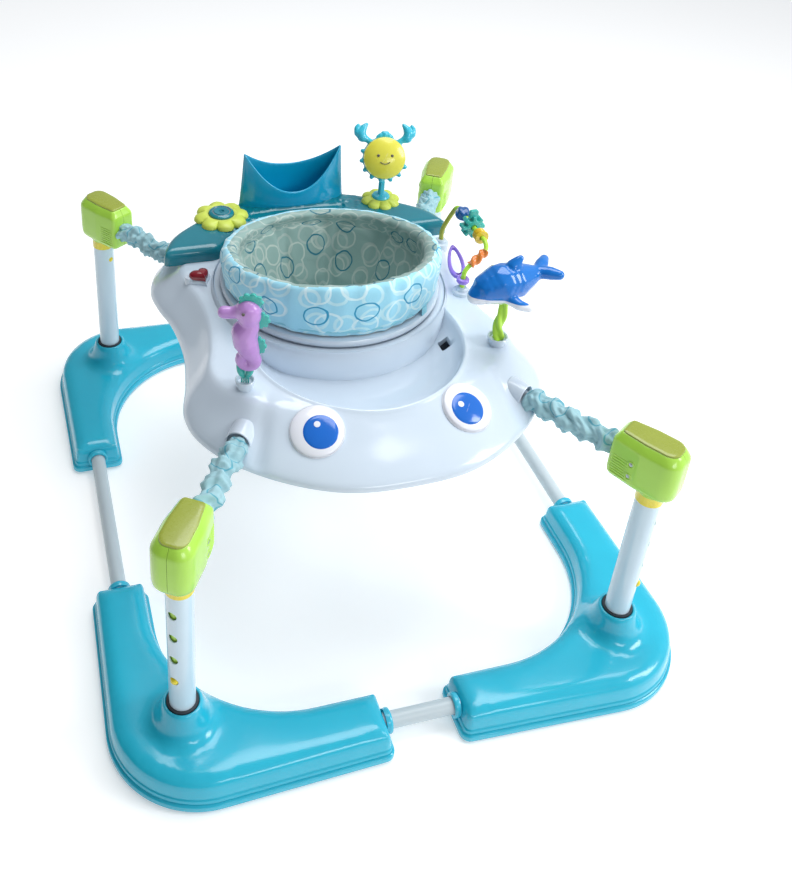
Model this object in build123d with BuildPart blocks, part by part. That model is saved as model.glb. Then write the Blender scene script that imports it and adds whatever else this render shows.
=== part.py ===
from build123d import *
import os
from math import cos, sin, pi, hypot

# Activity jumper: a square floor frame, four telescoping posts and a sprung tray with a turning seat.
#
# Millimetres, +Z up. X runs from the left posts to the right posts and Y from the front to the back.
# The origin is on the floor, under the middle of the frame.

os.makedirs("parts", exist_ok=True)

# ---- driving dimensions ---------------------------------------------------
POST_X = 315.0           # post axes, half spacing left to right
POST_Y = 385.0           # post axes, half spacing front to back
TUBE_LINE = 53.0         # the frame tubes run this far outside the post axes
FLOOR_GAP = 4.0          # the rubber feet lift the base shells by this much

SHELL_TOP = 50.0         # top of a base arm
SHELL_WALL = 3.0
LIP_HEIGHT = 8.0         # rim along the bottom edge of a base shell
LIP_STEP = 4.0
CROWN_INSET = (2.0, 5.0, 10.0, 17.0)    # the arm's rounded top, in steps
CROWN_DROP = (1.0, 4.0, 9.0, 15.0)      # and how far below the top each step starts
ARM_END_X = 47.0         # front and back arms stop this far from the middle
ARM_END_Y = 140.0        # side arms stop this far from the middle
TUBE_Z = 27.0            # axis height of the frame tubes
TUBE_R = 11.5
TUBE_INSERT = 70.0       # length of tube inside each arm
COLLAR_TOP = 90.0
CONE_R = 52.0
COLLAR_R = 26.0

POST_R = 17.5            # outer post tube
POST_WALL = 1.5
POST_TOP = 304.0
BUSH_TOP = 326.0
INNER_R = 14.5           # inner post that carries the head
INNER_BOTTOM = 95.0
HOLE_R = 6.5
HOLE_FIRST = 148.0       # height of the lowest setting hole
HOLE_PITCH = 41.0
HOLE_COUNT = 4
BUTTON_R = 6.1
BUTTON_START = 6.0       # inner end of a snap button, from the post axis
BUTTON_TIP = 15.2        # its nose, kept inside the outer tube so that it clears at every height

HEAD_BOTTOM = 334.0
HEAD_TOP = 402.0
HEAD_WIDTH = 56.0
HEAD_OUT = 34.0          # head reach beyond the post axis, outwards
HEAD_IN = 60.0           # and inwards, towards the tray
HEAD_WALL = 2.6
HEAD_DIR = (0.545, 0.8385)   # unit direction of a head, seen in the positive quadrant
STRAP_Z = 360.0          # height of the springs and sleeves
SLEEVE_END = 186.0       # sleeve's tray end, from the post axis
SLEEVE_R = 15.0

SEAT_Y = 58.0            # centre of the seat, behind the middle of the frame
WALL_IN = 165.0          # round wall of the tray that carries the seat ring
WALL_OUT = 179.0
WALL_TOP = 400.0
TRAY_BOTTOM = 338.0
TRAY_TOP = 393.0
TRAY_WALL = 3.0
BOWL_Y = -75.0           # centre of the snack bowl's circle
BOWL_R = 150.0
BOWL_FLOOR = 355.0
CONSOLE_TOP = 418.0
CONSOLE_FRONT = 160.0    # the console starts behind this Y
RING_BOTTOM = 402.0
RING_TOP = 413.0
RING_OUT = 169.0
RING_IN = 153.0
FABRIC_TOP = 502.0       # the fabric's rim, highest at the front
FABRIC_SLANT = 11.8       # degrees the rim slopes down towards the back
FABRIC_BOTTOM = 292.0

CORNERS = {
    "front_left": (-1, -1),
    "front_right": (1, -1),
    "back_left": (-1, 1),
    "back_right": (1, 1),
}


def save(builder, name):
    """Label the finished piece and write its STEP file."""
    builder.part.label = name
    export_step(builder.part, f"parts/{name}.step")


def corner_edges(sx, sy, d):
    """Outline of one L-shaped base corner, drawn d inside the real edge."""
    def at(x, y):
        return (sx * x, sy * y)
    outer_y = POST_Y + TUBE_LINE + 42 - d
    outer_x = POST_X + TUBE_LINE + 42 - d
    inner_y = POST_Y + TUBE_LINE - 42 + d
    inner_x = POST_X + TUBE_LINE - 42 + d
    bulge = 135.0 - d
    turn_x = POST_X - 35
    turn_y = POST_Y - 30
    mid = bulge * cos(pi / 4)
    Polyline(at(ARM_END_X + d, inner_y), at(ARM_END_X + d, outer_y), at(turn_x, turn_y + bulge))
    ThreePointArc(at(turn_x, turn_y + bulge), at(turn_x + mid, turn_y + mid), at(turn_x + bulge, turn_y))
    Polyline(at(turn_x + bulge, turn_y), at(outer_x, ARM_END_Y + d), at(inner_x, ARM_END_Y + d),
             at(inner_x, 225))
    ThreePointArc(at(inner_x, 225), at(268 + 0.7 * d, 338 + 0.7 * d), at(165, inner_y))
    Line(at(165, inner_y), at(ARM_END_X + d, inner_y))


def corner_face(sx, sy, d, z):
    """Filled base corner outline at height z."""
    with BuildSketch(Plane.XY.offset(z)) as plan:
        with BuildLine():
            corner_edges(sx, sy, d)
        make_face()
    return plan.sketch


def base_shell(name, sx, sy):
    """Moulded corner: two arms, a low crown and the collar that holds the post."""
    px = sx * POST_X
    py = sy * POST_Y
    with BuildPart() as shell:
        extrude(corner_face(sx, sy, 0, FLOOR_GAP), amount=LIP_HEIGHT)
        extrude(corner_face(sx, sy, LIP_STEP, FLOOR_GAP + LIP_HEIGHT),
                amount=SHELL_TOP - FLOOR_GAP - LIP_HEIGHT - CROWN_DROP[-1])
        for i, inset in enumerate(CROWN_INSET):
            start = SHELL_TOP - CROWN_DROP[-1 - i]
            stop = SHELL_TOP - (CROWN_DROP[-2 - i] if i + 1 < len(CROWN_DROP) else 0)
            extrude(corner_face(sx, sy, LIP_STEP + inset, start), amount=stop - start)
        with BuildSketch(Plane(origin=(px, py, 0), x_dir=(1, 0, 0), z_dir=(0, -1, 0))):
            with BuildLine():
                Polyline((0, SHELL_TOP - 6), (CONE_R + 8, SHELL_TOP - 6))
                Spline((CONE_R + 8, SHELL_TOP - 6), (CONE_R - 8, SHELL_TOP + 9), (COLLAR_R, COLLAR_TOP))
                Polyline((COLLAR_R, COLLAR_TOP), (0, COLLAR_TOP), (0, SHELL_TOP - 6))
            make_face()
        revolve(axis=Axis((px, py, 0), (0, 0, 1)))
        # hollow underside
        extrude(corner_face(sx, sy, LIP_STEP + SHELL_WALL, FLOOR_GAP),
                amount=SHELL_TOP - FLOOR_GAP - 14, mode=Mode.SUBTRACT)
        # frame tube sockets and the post's bore
        with Locations(Location((sx * ARM_END_X, sy * (POST_Y + TUBE_LINE), TUBE_Z), (0, 90, 0))):
            Cylinder(TUBE_R, 2 * TUBE_INSERT, mode=Mode.SUBTRACT)
        with Locations(Location((sx * (POST_X + TUBE_LINE), sy * ARM_END_Y, TUBE_Z), (90, 0, 0))):
            Cylinder(TUBE_R, 2 * TUBE_INSERT, mode=Mode.SUBTRACT)
        with Locations((px, py, 0)):
            Cylinder(POST_R, 3 * COLLAR_TOP, mode=Mode.SUBTRACT)
        with Locations((px, py, COLLAR_TOP)):
            Cylinder(POST_R + 3.5, 8, mode=Mode.SUBTRACT)
    save(shell, name)


def post_socket(px, py):
    """Cup on the base plate that the foot of the post stands in."""
    with Locations((px, py, FLOOR_GAP + 12)):
        Cylinder(POST_R + 3, 18)
        Cylinder(POST_R, 40, mode=Mode.SUBTRACT)


def frame_tube(name, centre, along_x, length):
    """Straight steel tube between two base corners."""
    turn = (0, 90, 0) if along_x else (90, 0, 0)
    with BuildPart() as tube:
        with Locations(Location(centre, turn)):
            Cylinder(TUBE_R, length)
            Cylinder(TUBE_R - 1.2, length + 2, mode=Mode.SUBTRACT)
    save(tube, name)


def outward(sx, sy):
    """Unit direction in which a corner's setting holes face."""
    return (sx * cos(pi / 4), sy * sin(pi / 4), 0)


def radial_plane(px, py, z, direction):
    """Plane across a post's radius, with its normal along the given direction."""
    return Plane(origin=(px, py, z), x_dir=(0, 0, 1), z_dir=direction)


def post_tube(name, sx, sy):
    """Outer post with its four height-setting holes."""
    px = sx * POST_X
    py = sy * POST_Y
    with BuildPart() as post:
        with BuildSketch(Plane.XY.offset(FLOOR_GAP + 5)):
            with Locations((px, py)):
                Circle(POST_R)
                Circle(POST_R - POST_WALL, mode=Mode.SUBTRACT)
        extrude(amount=POST_TOP - FLOOR_GAP - 5)
        for i in range(HOLE_COUNT):
            with BuildSketch(radial_plane(px, py, HOLE_FIRST + i * HOLE_PITCH, outward(sx, sy))):
                Circle(HOLE_R)
            extrude(amount=POST_R + 5, mode=Mode.SUBTRACT)
    save(post, name)


def inner_post(name, sx, sy):
    """Inner post tube, drilled for its snap button."""
    px = sx * POST_X
    py = sy * POST_Y
    with BuildPart() as post:
        with BuildSketch(Plane.XY.offset(INNER_BOTTOM)):
            with Locations((px, py)):
                Circle(INNER_R)
                Circle(INNER_R - POST_WALL, mode=Mode.SUBTRACT)
        extrude(amount=HEAD_TOP - 14 - INNER_BOTTOM)
        with BuildSketch(radial_plane(px, py, HOLE_FIRST, outward(sx, sy))):
            Circle(HOLE_R)
        extrude(amount=POST_R + 5, mode=Mode.SUBTRACT)
    save(post, name)


def snap_button(name, sx, sy):
    """Round-nosed button that locks the inner post in a setting hole."""
    px = sx * POST_X
    py = sy * POST_Y
    ox, oy, _ = outward(sx, sy)
    start = (px + BUTTON_START * ox, py + BUTTON_START * oy)
    with BuildPart() as button:
        with BuildSketch(radial_plane(start[0], start[1], HOLE_FIRST, (ox, oy, 0))):
            Circle(BUTTON_R)
        extrude(amount=BUTTON_TIP - BUTTON_START)
        tip = button.faces().sort_by(Axis((px, py, HOLE_FIRST), (ox, oy, 0)))[-1]
        fillet(tip.edges(), radius=2.6)
    save(button, name)


def head_outline(plane, grow, back, front):
    """Head plan: round over the post, square towards the tray."""
    half = HEAD_WIDTH / 2 - grow
    with BuildSketch(plane) as plan:
        with BuildLine():
            Polyline((-back + half, half), (front, half - 3), (front, -half + 3), (-back + half, -half))
            ThreePointArc((-back + half, -half), (-back, 0), (-back + half, half))
        make_face()
    return plan.sketch


def head_shells(corner, sx, sy):
    """The two half shells of a post head, parted on the head's own middle plane."""
    px = sx * POST_X
    py = sy * POST_Y
    inward = (-sx * HEAD_DIR[0], -sy * HEAD_DIR[1], 0)
    across = (sy * HEAD_DIR[1], -sx * HEAD_DIR[0], 0)
    with BuildPart() as head:
        floor = Plane(origin=(px, py, HEAD_BOTTOM), x_dir=inward, z_dir=(0, 0, 1))
        extrude(head_outline(floor, 0, HEAD_OUT, HEAD_IN), amount=HEAD_TOP - HEAD_BOTTOM)
        top = head.faces().filter_by(Axis.Z).sort_by(Axis.Z)[-1]
        chamfer(top.edges(), length=9)
        bottom = head.faces().filter_by(Axis.Z).sort_by(Axis.Z)[0]
        fillet(bottom.edges(), radius=7)
        inner = head_outline(floor.offset(HEAD_WALL), HEAD_WALL + 4, HEAD_OUT - HEAD_WALL - 4,
                             HEAD_IN - HEAD_WALL)
        extrude(inner, amount=HEAD_TOP - HEAD_BOTTOM - 2 * HEAD_WALL - 3, mode=Mode.SUBTRACT)
        with Locations((px, py, (BUSH_TOP + HEAD_BOTTOM) / 2 + 2)):
            Cylinder(POST_R + 0.6, HEAD_BOTTOM - BUSH_TOP + 3)
        with Locations((px, py, HEAD_BOTTOM)):
            Cylinder(INNER_R, 60, mode=Mode.SUBTRACT)
        # mouth for the spring strap
        with BuildSketch(Plane(origin=(px, py, STRAP_Z), x_dir=across, z_dir=inward)):
            Circle(SLEEVE_R - 2)
        extrude(amount=HEAD_IN + 5, mode=Mode.SUBTRACT)
    parting = Plane(origin=(px, py, 0), x_dir=inward, z_dir=across)
    for side, kept in (("a", Keep.TOP), ("b", Keep.BOTTOM)):
        with BuildPart() as half:
            add(head.part)
            split(bisect_by=parting, keep=kept)
            if side == "b":
                outer = Plane(origin=(px, py, 0), x_dir=inward, z_dir=(-across[0], -across[1], 0))
                for z in (344, 366):
                    spot = outer.origin + outer.x_dir * 26 + Vector(0, 0, z)
                    with BuildSketch(Plane(origin=spot + outer.z_dir * 14, x_dir=inward,
                                           z_dir=outer.z_dir)):
                        Circle(3.2)
                    extrude(amount=30, mode=Mode.SUBTRACT)
        save(half, f"head_shell_{side}_{corner}")


def sleeve_frame(sx, sy):
    """Plane at a post axis, at strap height, with its normal towards the tray."""
    inward = (-sx * HEAD_DIR[0], -sy * HEAD_DIR[1], 0)
    return Plane(origin=(sx * POST_X, sy * POST_Y, STRAP_Z), x_dir=(0, 0, 1), z_dir=inward)


def sleeve(name, sx, sy):
    """Gathered fabric sleeve over a spring, drawn as its plain outer shape."""
    with BuildPart() as cover:
        frame = sleeve_frame(sx, sy)
        with BuildSketch(frame.offset(HEAD_IN + 1)):
            Circle(SLEEVE_R)
            Circle(SLEEVE_R - 3.5, mode=Mode.SUBTRACT)
        extrude(amount=SLEEVE_END - HEAD_IN - 1)
    save(cover, name)


def corner_parts():
    """Everything that repeats at the four corners."""
    for corner, (sx, sy) in CORNERS.items():
        base_shell(f"base_shell_{corner}", sx, sy)
        post_tube(f"post_tube_{corner}", sx, sy)
        inner_post(f"inner_post_{corner}", sx, sy)
        snap_button(f"snap_button_{corner}", sx, sy)
        head_shells(corner, sx, sy)
        sleeve(f"sleeve_{corner}", sx, sy)


corner_parts()

# ---- base plates: flat covers under the shells, each with its post cup -----
with BuildPart() as base_plates:
    for sx, sy in CORNERS.values():
        extrude(corner_face(sx, sy, LIP_STEP + SHELL_WALL + 0.3, FLOOR_GAP), amount=3)
        post_socket(sx * POST_X, sy * POST_Y)
        with Locations((sx * POST_X, sy * POST_Y, FLOOR_GAP + 3.5)):
            Cylinder(POST_R, 3)
save(base_plates, "base_plates")

# ---- rubber feet ------------------------------------------------------------
with BuildPart() as feet:
    for sx, sy in CORNERS.values():
        for x, y in ((85, 438), (368, 178), (350, 425)):
            with Locations((sx * x, sy * y, FLOOR_GAP / 2)):
                Cylinder(13, FLOOR_GAP)
save(feet, "feet")

# ---- screws that hold the plates to the shells --------------------------------
with BuildPart() as base_screws:
    for sx, sy in CORNERS.values():
        for x, y in ((130, 438), (368, 225), (300, 440), (375, 330)):
            with Locations((sx * x, sy * y, FLOOR_GAP - 0.6)):
                Cylinder(4, 1.2)
save(base_screws, "base_screws")

# ---- frame tubes ----------------------------------------------------------------
cross_length = 2 * (ARM_END_X + TUBE_INSERT)
side_length = 2 * (ARM_END_Y + TUBE_INSERT)
frame_tube("frame_tube_front", (0, -(POST_Y + TUBE_LINE), TUBE_Z), True, cross_length)
frame_tube("frame_tube_back", (0, POST_Y + TUBE_LINE, TUBE_Z), True, cross_length)
frame_tube("frame_tube_left", (-(POST_X + TUBE_LINE), 0, TUBE_Z), False, side_length)
frame_tube("frame_tube_right", (POST_X + TUBE_LINE, 0, TUBE_Z), False, side_length)

# ---- bushes on top of the posts, and seals round their feet -----------------------
with BuildPart() as post_bushes:
    for sx, sy in CORNERS.values():
        with Locations((sx * POST_X, sy * POST_Y, (POST_TOP + BUSH_TOP) / 2)):
            Cylinder(POST_R + 0.9, BUSH_TOP - POST_TOP)
        with Locations((sx * POST_X, sy * POST_Y, POST_TOP - 5)):
            Cylinder(POST_R - POST_WALL, 14)
        with Locations((sx * POST_X, sy * POST_Y, POST_TOP)):
            Cylinder(INNER_R + 0.3, 60, mode=Mode.SUBTRACT)
save(post_bushes, "post_bushes")

with BuildPart() as socket_seals:
    for sx, sy in CORNERS.values():
        with Locations((sx * POST_X, sy * POST_Y, COLLAR_TOP - 1.4)):
            Cylinder(POST_R + 3.5, 5)
            Cylinder(POST_R, 8, mode=Mode.SUBTRACT)
save(socket_seals, "socket_seals")

# ---- tension springs inside the sleeves, close wound, with solid end plugs --------
with BuildPart() as springs:
    for sx, sy in CORNERS.values():
        start = HEAD_IN - 16
        for i in range(11):
            step = start + i * 13.0
            with BuildSketch(sleeve_frame(sx, sy).offset(step)):
                Circle(6.5 if i % 2 else 8)
            extrude(amount=13.0)
save(springs, "springs")


# ---- tray -------------------------------------------------------------------------
# Right half of the tray's edge, front to back, with how much faster that point draws in
# as the surface rises: the front slopes gently and the lobes are steep.
TRAY_EDGE = [
    (0, -325, 1.6), (80, -318, 1.6), (150, -288, 1.5), (212, -240, 1.2), (252, -184, 1.0),
    (263, -130, 0.9), (250, -70, 0.8), (240, 0, 0.7), (244, 70, 0.7), (258, 125, 0.8),
    (262, 172, 0.9), (243, 224, 1.0), (198, 266, 1.0), (138, 300, 0.9), (70, 324, 0.8),
    (0, 332, 0.8),
]


def tray_points(inset):
    """Closed ring of edge points, drawn in towards the seat centre."""
    half = []
    for x, y, rate in TRAY_EDGE:
        reach = hypot(x, y - SEAT_Y)
        k = 1 - inset * rate / reach
        half.append((x * k, SEAT_Y + (y - SEAT_Y) * k))
    mirrored = [(-x, y) for x, y in reversed(half[1:-1])]
    return half + mirrored


def tray_face(inset, z):
    """Filled tray outline at height z."""
    with BuildSketch(Plane.XY.offset(z)) as plan:
        with BuildLine():
            Spline(*tray_points(inset), periodic=True)
        make_face()
    return plan.sketch


def tray_sections(extra, drop):
    """Loft the tray's outer form, or its inside when extra and drop are the wall."""
    levels = ((TRAY_BOTTOM, 0), (TRAY_BOTTOM + 13, 10), (TRAY_BOTTOM + 32, 36), (TRAY_TOP, 60))
    faces = []
    for z, inset in levels:
        faces.append(tray_face(inset + extra, z - drop))
    loft(faces)


with BuildPart() as tray_form:
    tray_sections(0, 0)

with BuildPart() as tray_hollow:
    tray_sections(TRAY_WALL, TRAY_WALL)


def seat_circle(radius, z0, z1, mode=Mode.ADD):
    """Upright cylinder on the seat axis between two heights."""
    with BuildSketch(Plane.XY.offset(z0)) as plan:
        with Locations((0, SEAT_Y)):
            Circle(radius)
    extrude(plan.sketch, amount=z1 - z0, mode=mode)


def bowl_crescent(grow, z0, z1, mode):
    """The snack bowl's plan, a circle cut back by the seat wall."""
    with BuildSketch(Plane.XY.offset(z0)) as plan:
        with Locations((0, BOWL_Y)):
            Circle(BOWL_R + grow)
        with Locations((0, SEAT_Y)):
            Circle(WALL_OUT + TRAY_WALL, mode=Mode.SUBTRACT)
    extrude(plan.sketch, amount=z1 - z0, mode=mode)


with BuildPart() as tray_shell:
    add(tray_form.part)
    add(tray_hollow.part, mode=Mode.SUBTRACT)
    bowl_crescent(TRAY_WALL, BOWL_FLOOR - TRAY_WALL, TRAY_TOP - 1, Mode.ADD)
    seat_circle(WALL_OUT + TRAY_WALL, TRAY_BOTTOM, TRAY_TOP - 1)
    seat_circle(WALL_OUT, TRAY_TOP - 2, WALL_TOP)
    bowl_crescent(0, BOWL_FLOOR, WALL_TOP + 30, Mode.SUBTRACT)
    seat_circle(WALL_IN, TRAY_BOTTOM - 20, WALL_TOP + 20, Mode.SUBTRACT)
    # drain slot at the bowl's right end
    with Locations((138, -88, BOWL_FLOOR)):
        Box(14, 20, 30, mode=Mode.SUBTRACT)
    # mouths in the rim where the spring straps come in
    for sx, sy in CORNERS.values():
        with BuildSketch(sleeve_frame(sx, sy).offset(SLEEVE_END - 45)):
            Circle(SLEEVE_R + 0.6)
        extrude(amount=90, mode=Mode.SUBTRACT)
save(tray_shell, "tray_shell")

with BuildPart() as tray_underside:
    with BuildSketch(Plane.XY.offset(TRAY_BOTTOM - 3)):
        with BuildLine():
            Spline(*tray_points(4), periodic=True)
        make_face()
        with Locations((0, SEAT_Y)):
            Circle(WALL_IN, mode=Mode.SUBTRACT)
    extrude(amount=3)
save(tray_underside, "tray_underside")

# ---- eyes: white domes set in the sloping front --------------------------------------
EYE_R = 36.0
EYE_X = 106.0
EYE_Y = -243.0
EYE_Z = 369.0
EYE_NORMAL = (0.37, -0.66, 0.65)
with BuildPart() as eye_domes:
    for side in (-1, 1):
        normal = (side * EYE_NORMAL[0], EYE_NORMAL[1], EYE_NORMAL[2])
        with BuildSketch(Plane(origin=(side * EYE_X, EYE_Y, EYE_Z), x_dir=(-side * 0.66, -0.37, 0),
                               z_dir=normal)):
            Circle(EYE_R)
        extrude(amount=9, taper=25)
        with BuildSketch(Plane(origin=(side * EYE_X, EYE_Y, EYE_Z), x_dir=(-side * 0.66, -0.37, 0),
                               z_dir=normal)):
            Circle(EYE_R)
        extrude(amount=-7)
    add(tray_form.part, mode=Mode.SUBTRACT)
    with Locations((0, EYE_Y, TRAY_BOTTOM - 20)):
        Box(500, 200, 46, mode=Mode.SUBTRACT)
save(eye_domes, "eye_domes")

# ---- console over the back of the tray ----------------------------------------------
with BuildPart() as console:
    with BuildSketch(Plane.XY.offset(TRAY_TOP - 24)):
        with BuildLine():
            Spline(*tray_points(26), periodic=True)
        make_face()
        with Locations((0, SEAT_Y)):
            Circle(WALL_OUT + TRAY_WALL + 1, mode=Mode.SUBTRACT)
        with Locations((0, CONSOLE_FRONT - 300)):
            Rectangle(700, 600, mode=Mode.SUBTRACT)
    extrude(amount=CONSOLE_TOP - TRAY_TOP + 24)
    add(tray_form.part, mode=Mode.SUBTRACT)
    crown = console.faces().filter_by(Axis.Z).sort_by(Axis.Z)[-1]
    fillet(crown.edges(), radius=5)
save(console, "console")

# ---- fish tail: a pocket of two curved walls that meet in upturned tips --------------------
TAIL_Y = 286.0
TAIL_HALF = 92.0         # half width at the foot
TAIL_TIP = 84.0          # half spacing of the tips
TAIL_TALL = 94.0
TAIL_WALL = 3.5


def tail_lens(inset, z):
    """Plan of the pocket, pointed at both ends, drawn in by inset."""
    end = TAIL_HALF - 2.5 * inset
    with BuildSketch(Plane.XY.offset(z)) as plan:
        with BuildLine():
            ThreePointArc((-end, TAIL_Y), (0, TAIL_Y - 26 + inset), (end, TAIL_Y))
            ThreePointArc((end, TAIL_Y), (0, TAIL_Y + 20 - inset), (-end, TAIL_Y))
        make_face()
    return plan.sketch


def tail_cut(y, dip):
    """Front view of what is cut away above a wall whose middle stands dip over the console."""
    with BuildSketch(Plane(origin=(0, y, CONSOLE_TOP), x_dir=(1, 0, 0), z_dir=(0, -1, 0))) as view:
        with BuildLine():
            ThreePointArc((TAIL_TIP, TAIL_TALL), (0, dip), (-TAIL_TIP, TAIL_TALL))
            Polyline((-TAIL_TIP, TAIL_TALL), (-TAIL_HALF - 2, 0), (-TAIL_HALF - 20, 0),
                     (-TAIL_HALF - 20, TAIL_TALL + 20), (TAIL_HALF + 20, TAIL_TALL + 20),
                     (TAIL_HALF + 20, 0), (TAIL_HALF + 2, 0), (TAIL_TIP, TAIL_TALL))
        make_face()
    return view.sketch


with BuildPart() as fishtail:
    extrude(tail_lens(0, CONSOLE_TOP), amount=TAIL_TALL)
    extrude(tail_lens(TAIL_WALL, CONSOLE_TOP + TAIL_WALL), amount=TAIL_TALL, mode=Mode.SUBTRACT)
    extrude(tail_cut(TAIL_Y, 26), amount=40, mode=Mode.SUBTRACT)
    extrude(tail_cut(TAIL_Y, 58), amount=-40, mode=Mode.SUBTRACT)
save(fishtail, "fishtail")

# ---- flowers ----------------------------------------------------------------------------
FLOWERS = ((-130, 249, 44.0), (150, 250, 32.0))
FLOWER_TOP = CONSOLE_TOP + 9
BUTTON_HOLE = 21.5
STEM_R = 5.0
with BuildPart() as flower_petals:
    for x, y, radius in FLOWERS:
        with BuildSketch(Plane.XY.offset(CONSOLE_TOP)):
            with Locations((x, y)):
                Circle(radius * 0.72)
                with PolarLocations(radius * 0.68, 8):
                    Circle(radius * 0.32)
        extrude(amount=FLOWER_TOP - CONSOLE_TOP)
    with Locations((FLOWERS[0][0], FLOWERS[0][1], FLOWER_TOP)):
        Cylinder(BUTTON_HOLE, 40, mode=Mode.SUBTRACT)
    with Locations((FLOWERS[1][0], FLOWERS[1][1], FLOWER_TOP)):
        Cylinder(STEM_R + 0.4, 40, mode=Mode.SUBTRACT)
save(flower_petals, "flower_petals")

with BuildPart() as flower_button:
    with Locations((FLOWERS[0][0], FLOWERS[0][1], CONSOLE_TOP + 9.5)):
        Cylinder(BUTTON_HOLE - 0.4, 11)
    fillet(flower_button.faces().sort_by(Axis.Z)[-1].edges(), radius=2.5)
save(flower_button, "flower_button")

# ---- sun toy on its stem ----------------------------------------------------------------
SUN_Z = 500.0
SUN_R = 36.0
SUN_NORMAL = (-0.22, -0.86, 0.46)
sun_x, sun_y = FLOWERS[1][0], FLOWERS[1][1]
with BuildPart() as sun_stem:
    with Locations((sun_x, sun_y, (CONSOLE_TOP + SUN_Z - 14) / 2 + 0.2)):
        Cylinder(STEM_R, SUN_Z - 14 - CONSOLE_TOP)
    with Locations((sun_x, sun_y, FLOWER_TOP + 3.2)):
        Cylinder(13, 5)
save(sun_stem, "sun_stem")

with BuildPart() as sun_face:
    sun_plane = Plane(origin=(sun_x, sun_y, SUN_Z), x_dir=(0.97, -0.25, 0), z_dir=SUN_NORMAL)
    with BuildSketch(sun_plane):
        Circle(SUN_R)
        with PolarLocations(SUN_R + 1, 12):
            Circle(5)
        for angle, reach in ((52, 47), (128, 47)):
            with PolarLocations(reach, 1, start_angle=angle):
                Ellipse(17, 9)
    extrude(amount=8, both=True)
    with BuildSketch(sun_plane.offset(8)):
        Circle(SUN_R - 2)
    extrude(amount=9, taper=40)
    with Locations((sun_x, sun_y, CONSOLE_TOP)):
        Cylinder(STEM_R + 0.4, 2 * (SUN_Z - 13 - CONSOLE_TOP), mode=Mode.SUBTRACT)
save(sun_face, "sun_face")

# ---- sockets for the toys on the tray ----------------------------------------------------
SEAHORSE = (-182.0, -150.0)
WHALE = (196.0, -135.0)
ARCH_NEAR = (195.0, -6.0)
ARCH_FAR = (216.0, 131.0)
HEART = (-192.0, 112.0)
SOCKET_TOP = 402.0
with BuildPart() as toy_sockets:
    for (x, y), radius in ((SEAHORSE, 13), (WHALE, 14), (ARCH_NEAR, 12), (ARCH_FAR, 12), (HEART, 11)):
        with BuildSketch(Plane.XY.offset(TRAY_TOP - 22)):
            with Locations((x, y)):
                Circle(radius)
        extrude(amount=SOCKET_TOP - TRAY_TOP + 22, taper=3)
    add(tray_form.part, mode=Mode.SUBTRACT)
save(toy_sockets, "toy_sockets")

# ---- heart knob ---------------------------------------------------------------------------
with BuildPart() as heart_knob:
    with BuildSketch(Plane.XY.offset(SOCKET_TOP + 0.4)):
        with Locations((HEART[0] - 6, HEART[1] + 4), (HEART[0] + 6, HEART[1] + 4)):
            Circle(8.5)
        with BuildLine():
            Polyline((HEART[0] - 13.6, HEART[1]), (HEART[0], HEART[1] - 16), (HEART[0] + 13.6, HEART[1]),
                     (HEART[0], HEART[1] + 6), close=True)
        make_face()
    extrude(amount=11)
save(heart_knob, "heart_knob")

# ---- seahorse ------------------------------------------------------------------------------
SEA_THICK = 9.0
SEA_SHAPES = ((0, 104, 15), (-14, 98, 6), (-24, 98, 5.5), (-2, 84, 12), (-4, 66, 14), (3, 48, 13),
              (8, 32, 11), (4, 18, 10))
FIN_SHAPES = ((4, 120, 9), (24, 84, 12), (22, 42, 10), (0, 6, 12))
sea_plane = Plane(origin=(SEAHORSE[0], SEAHORSE[1], SOCKET_TOP + 14), x_dir=(0.94, -0.34, 0),
                  z_dir=(-0.34, -0.94, 0))
with BuildPart() as seahorse_body:
    with BuildSketch(sea_plane):
        for x, y, radius in SEA_SHAPES:
            with Locations((x, y)):
                Circle(radius)
    extrude(amount=SEA_THICK, both=True)
save(seahorse_body, "seahorse_body")

with BuildPart() as seahorse_fins:
    with BuildSketch(sea_plane):
        for x, y, radius in FIN_SHAPES:
            with Locations((x, y)):
                RegularPolygon(radius, 7)
        with Locations((4, 104), (18, 84), (17, 42)):
            Circle(8)
    extrude(amount=2.5, both=True)
    with Locations((SEAHORSE[0], SEAHORSE[1], SOCKET_TOP + 8)):
        Cylinder(5, 15)
    add(seahorse_body.part, mode=Mode.SUBTRACT)
save(seahorse_fins, "seahorse_fins")

# ---- whale on its stalk ---------------------------------------------------------------------
WHALE_Z = 500.0
STALK_TOP = WHALE_Z - 24
with BuildPart() as whale_stalk:
    with BuildSketch(Plane.XY.offset(SOCKET_TOP)):
        with Locations(WHALE):
            Circle(7)
    with BuildSketch(Plane.XY.offset(STALK_TOP)):
        with Locations((WHALE[0] + 4, WHALE[1])):
            Circle(4.5)
    loft()
save(whale_stalk, "whale_stalk")

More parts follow.
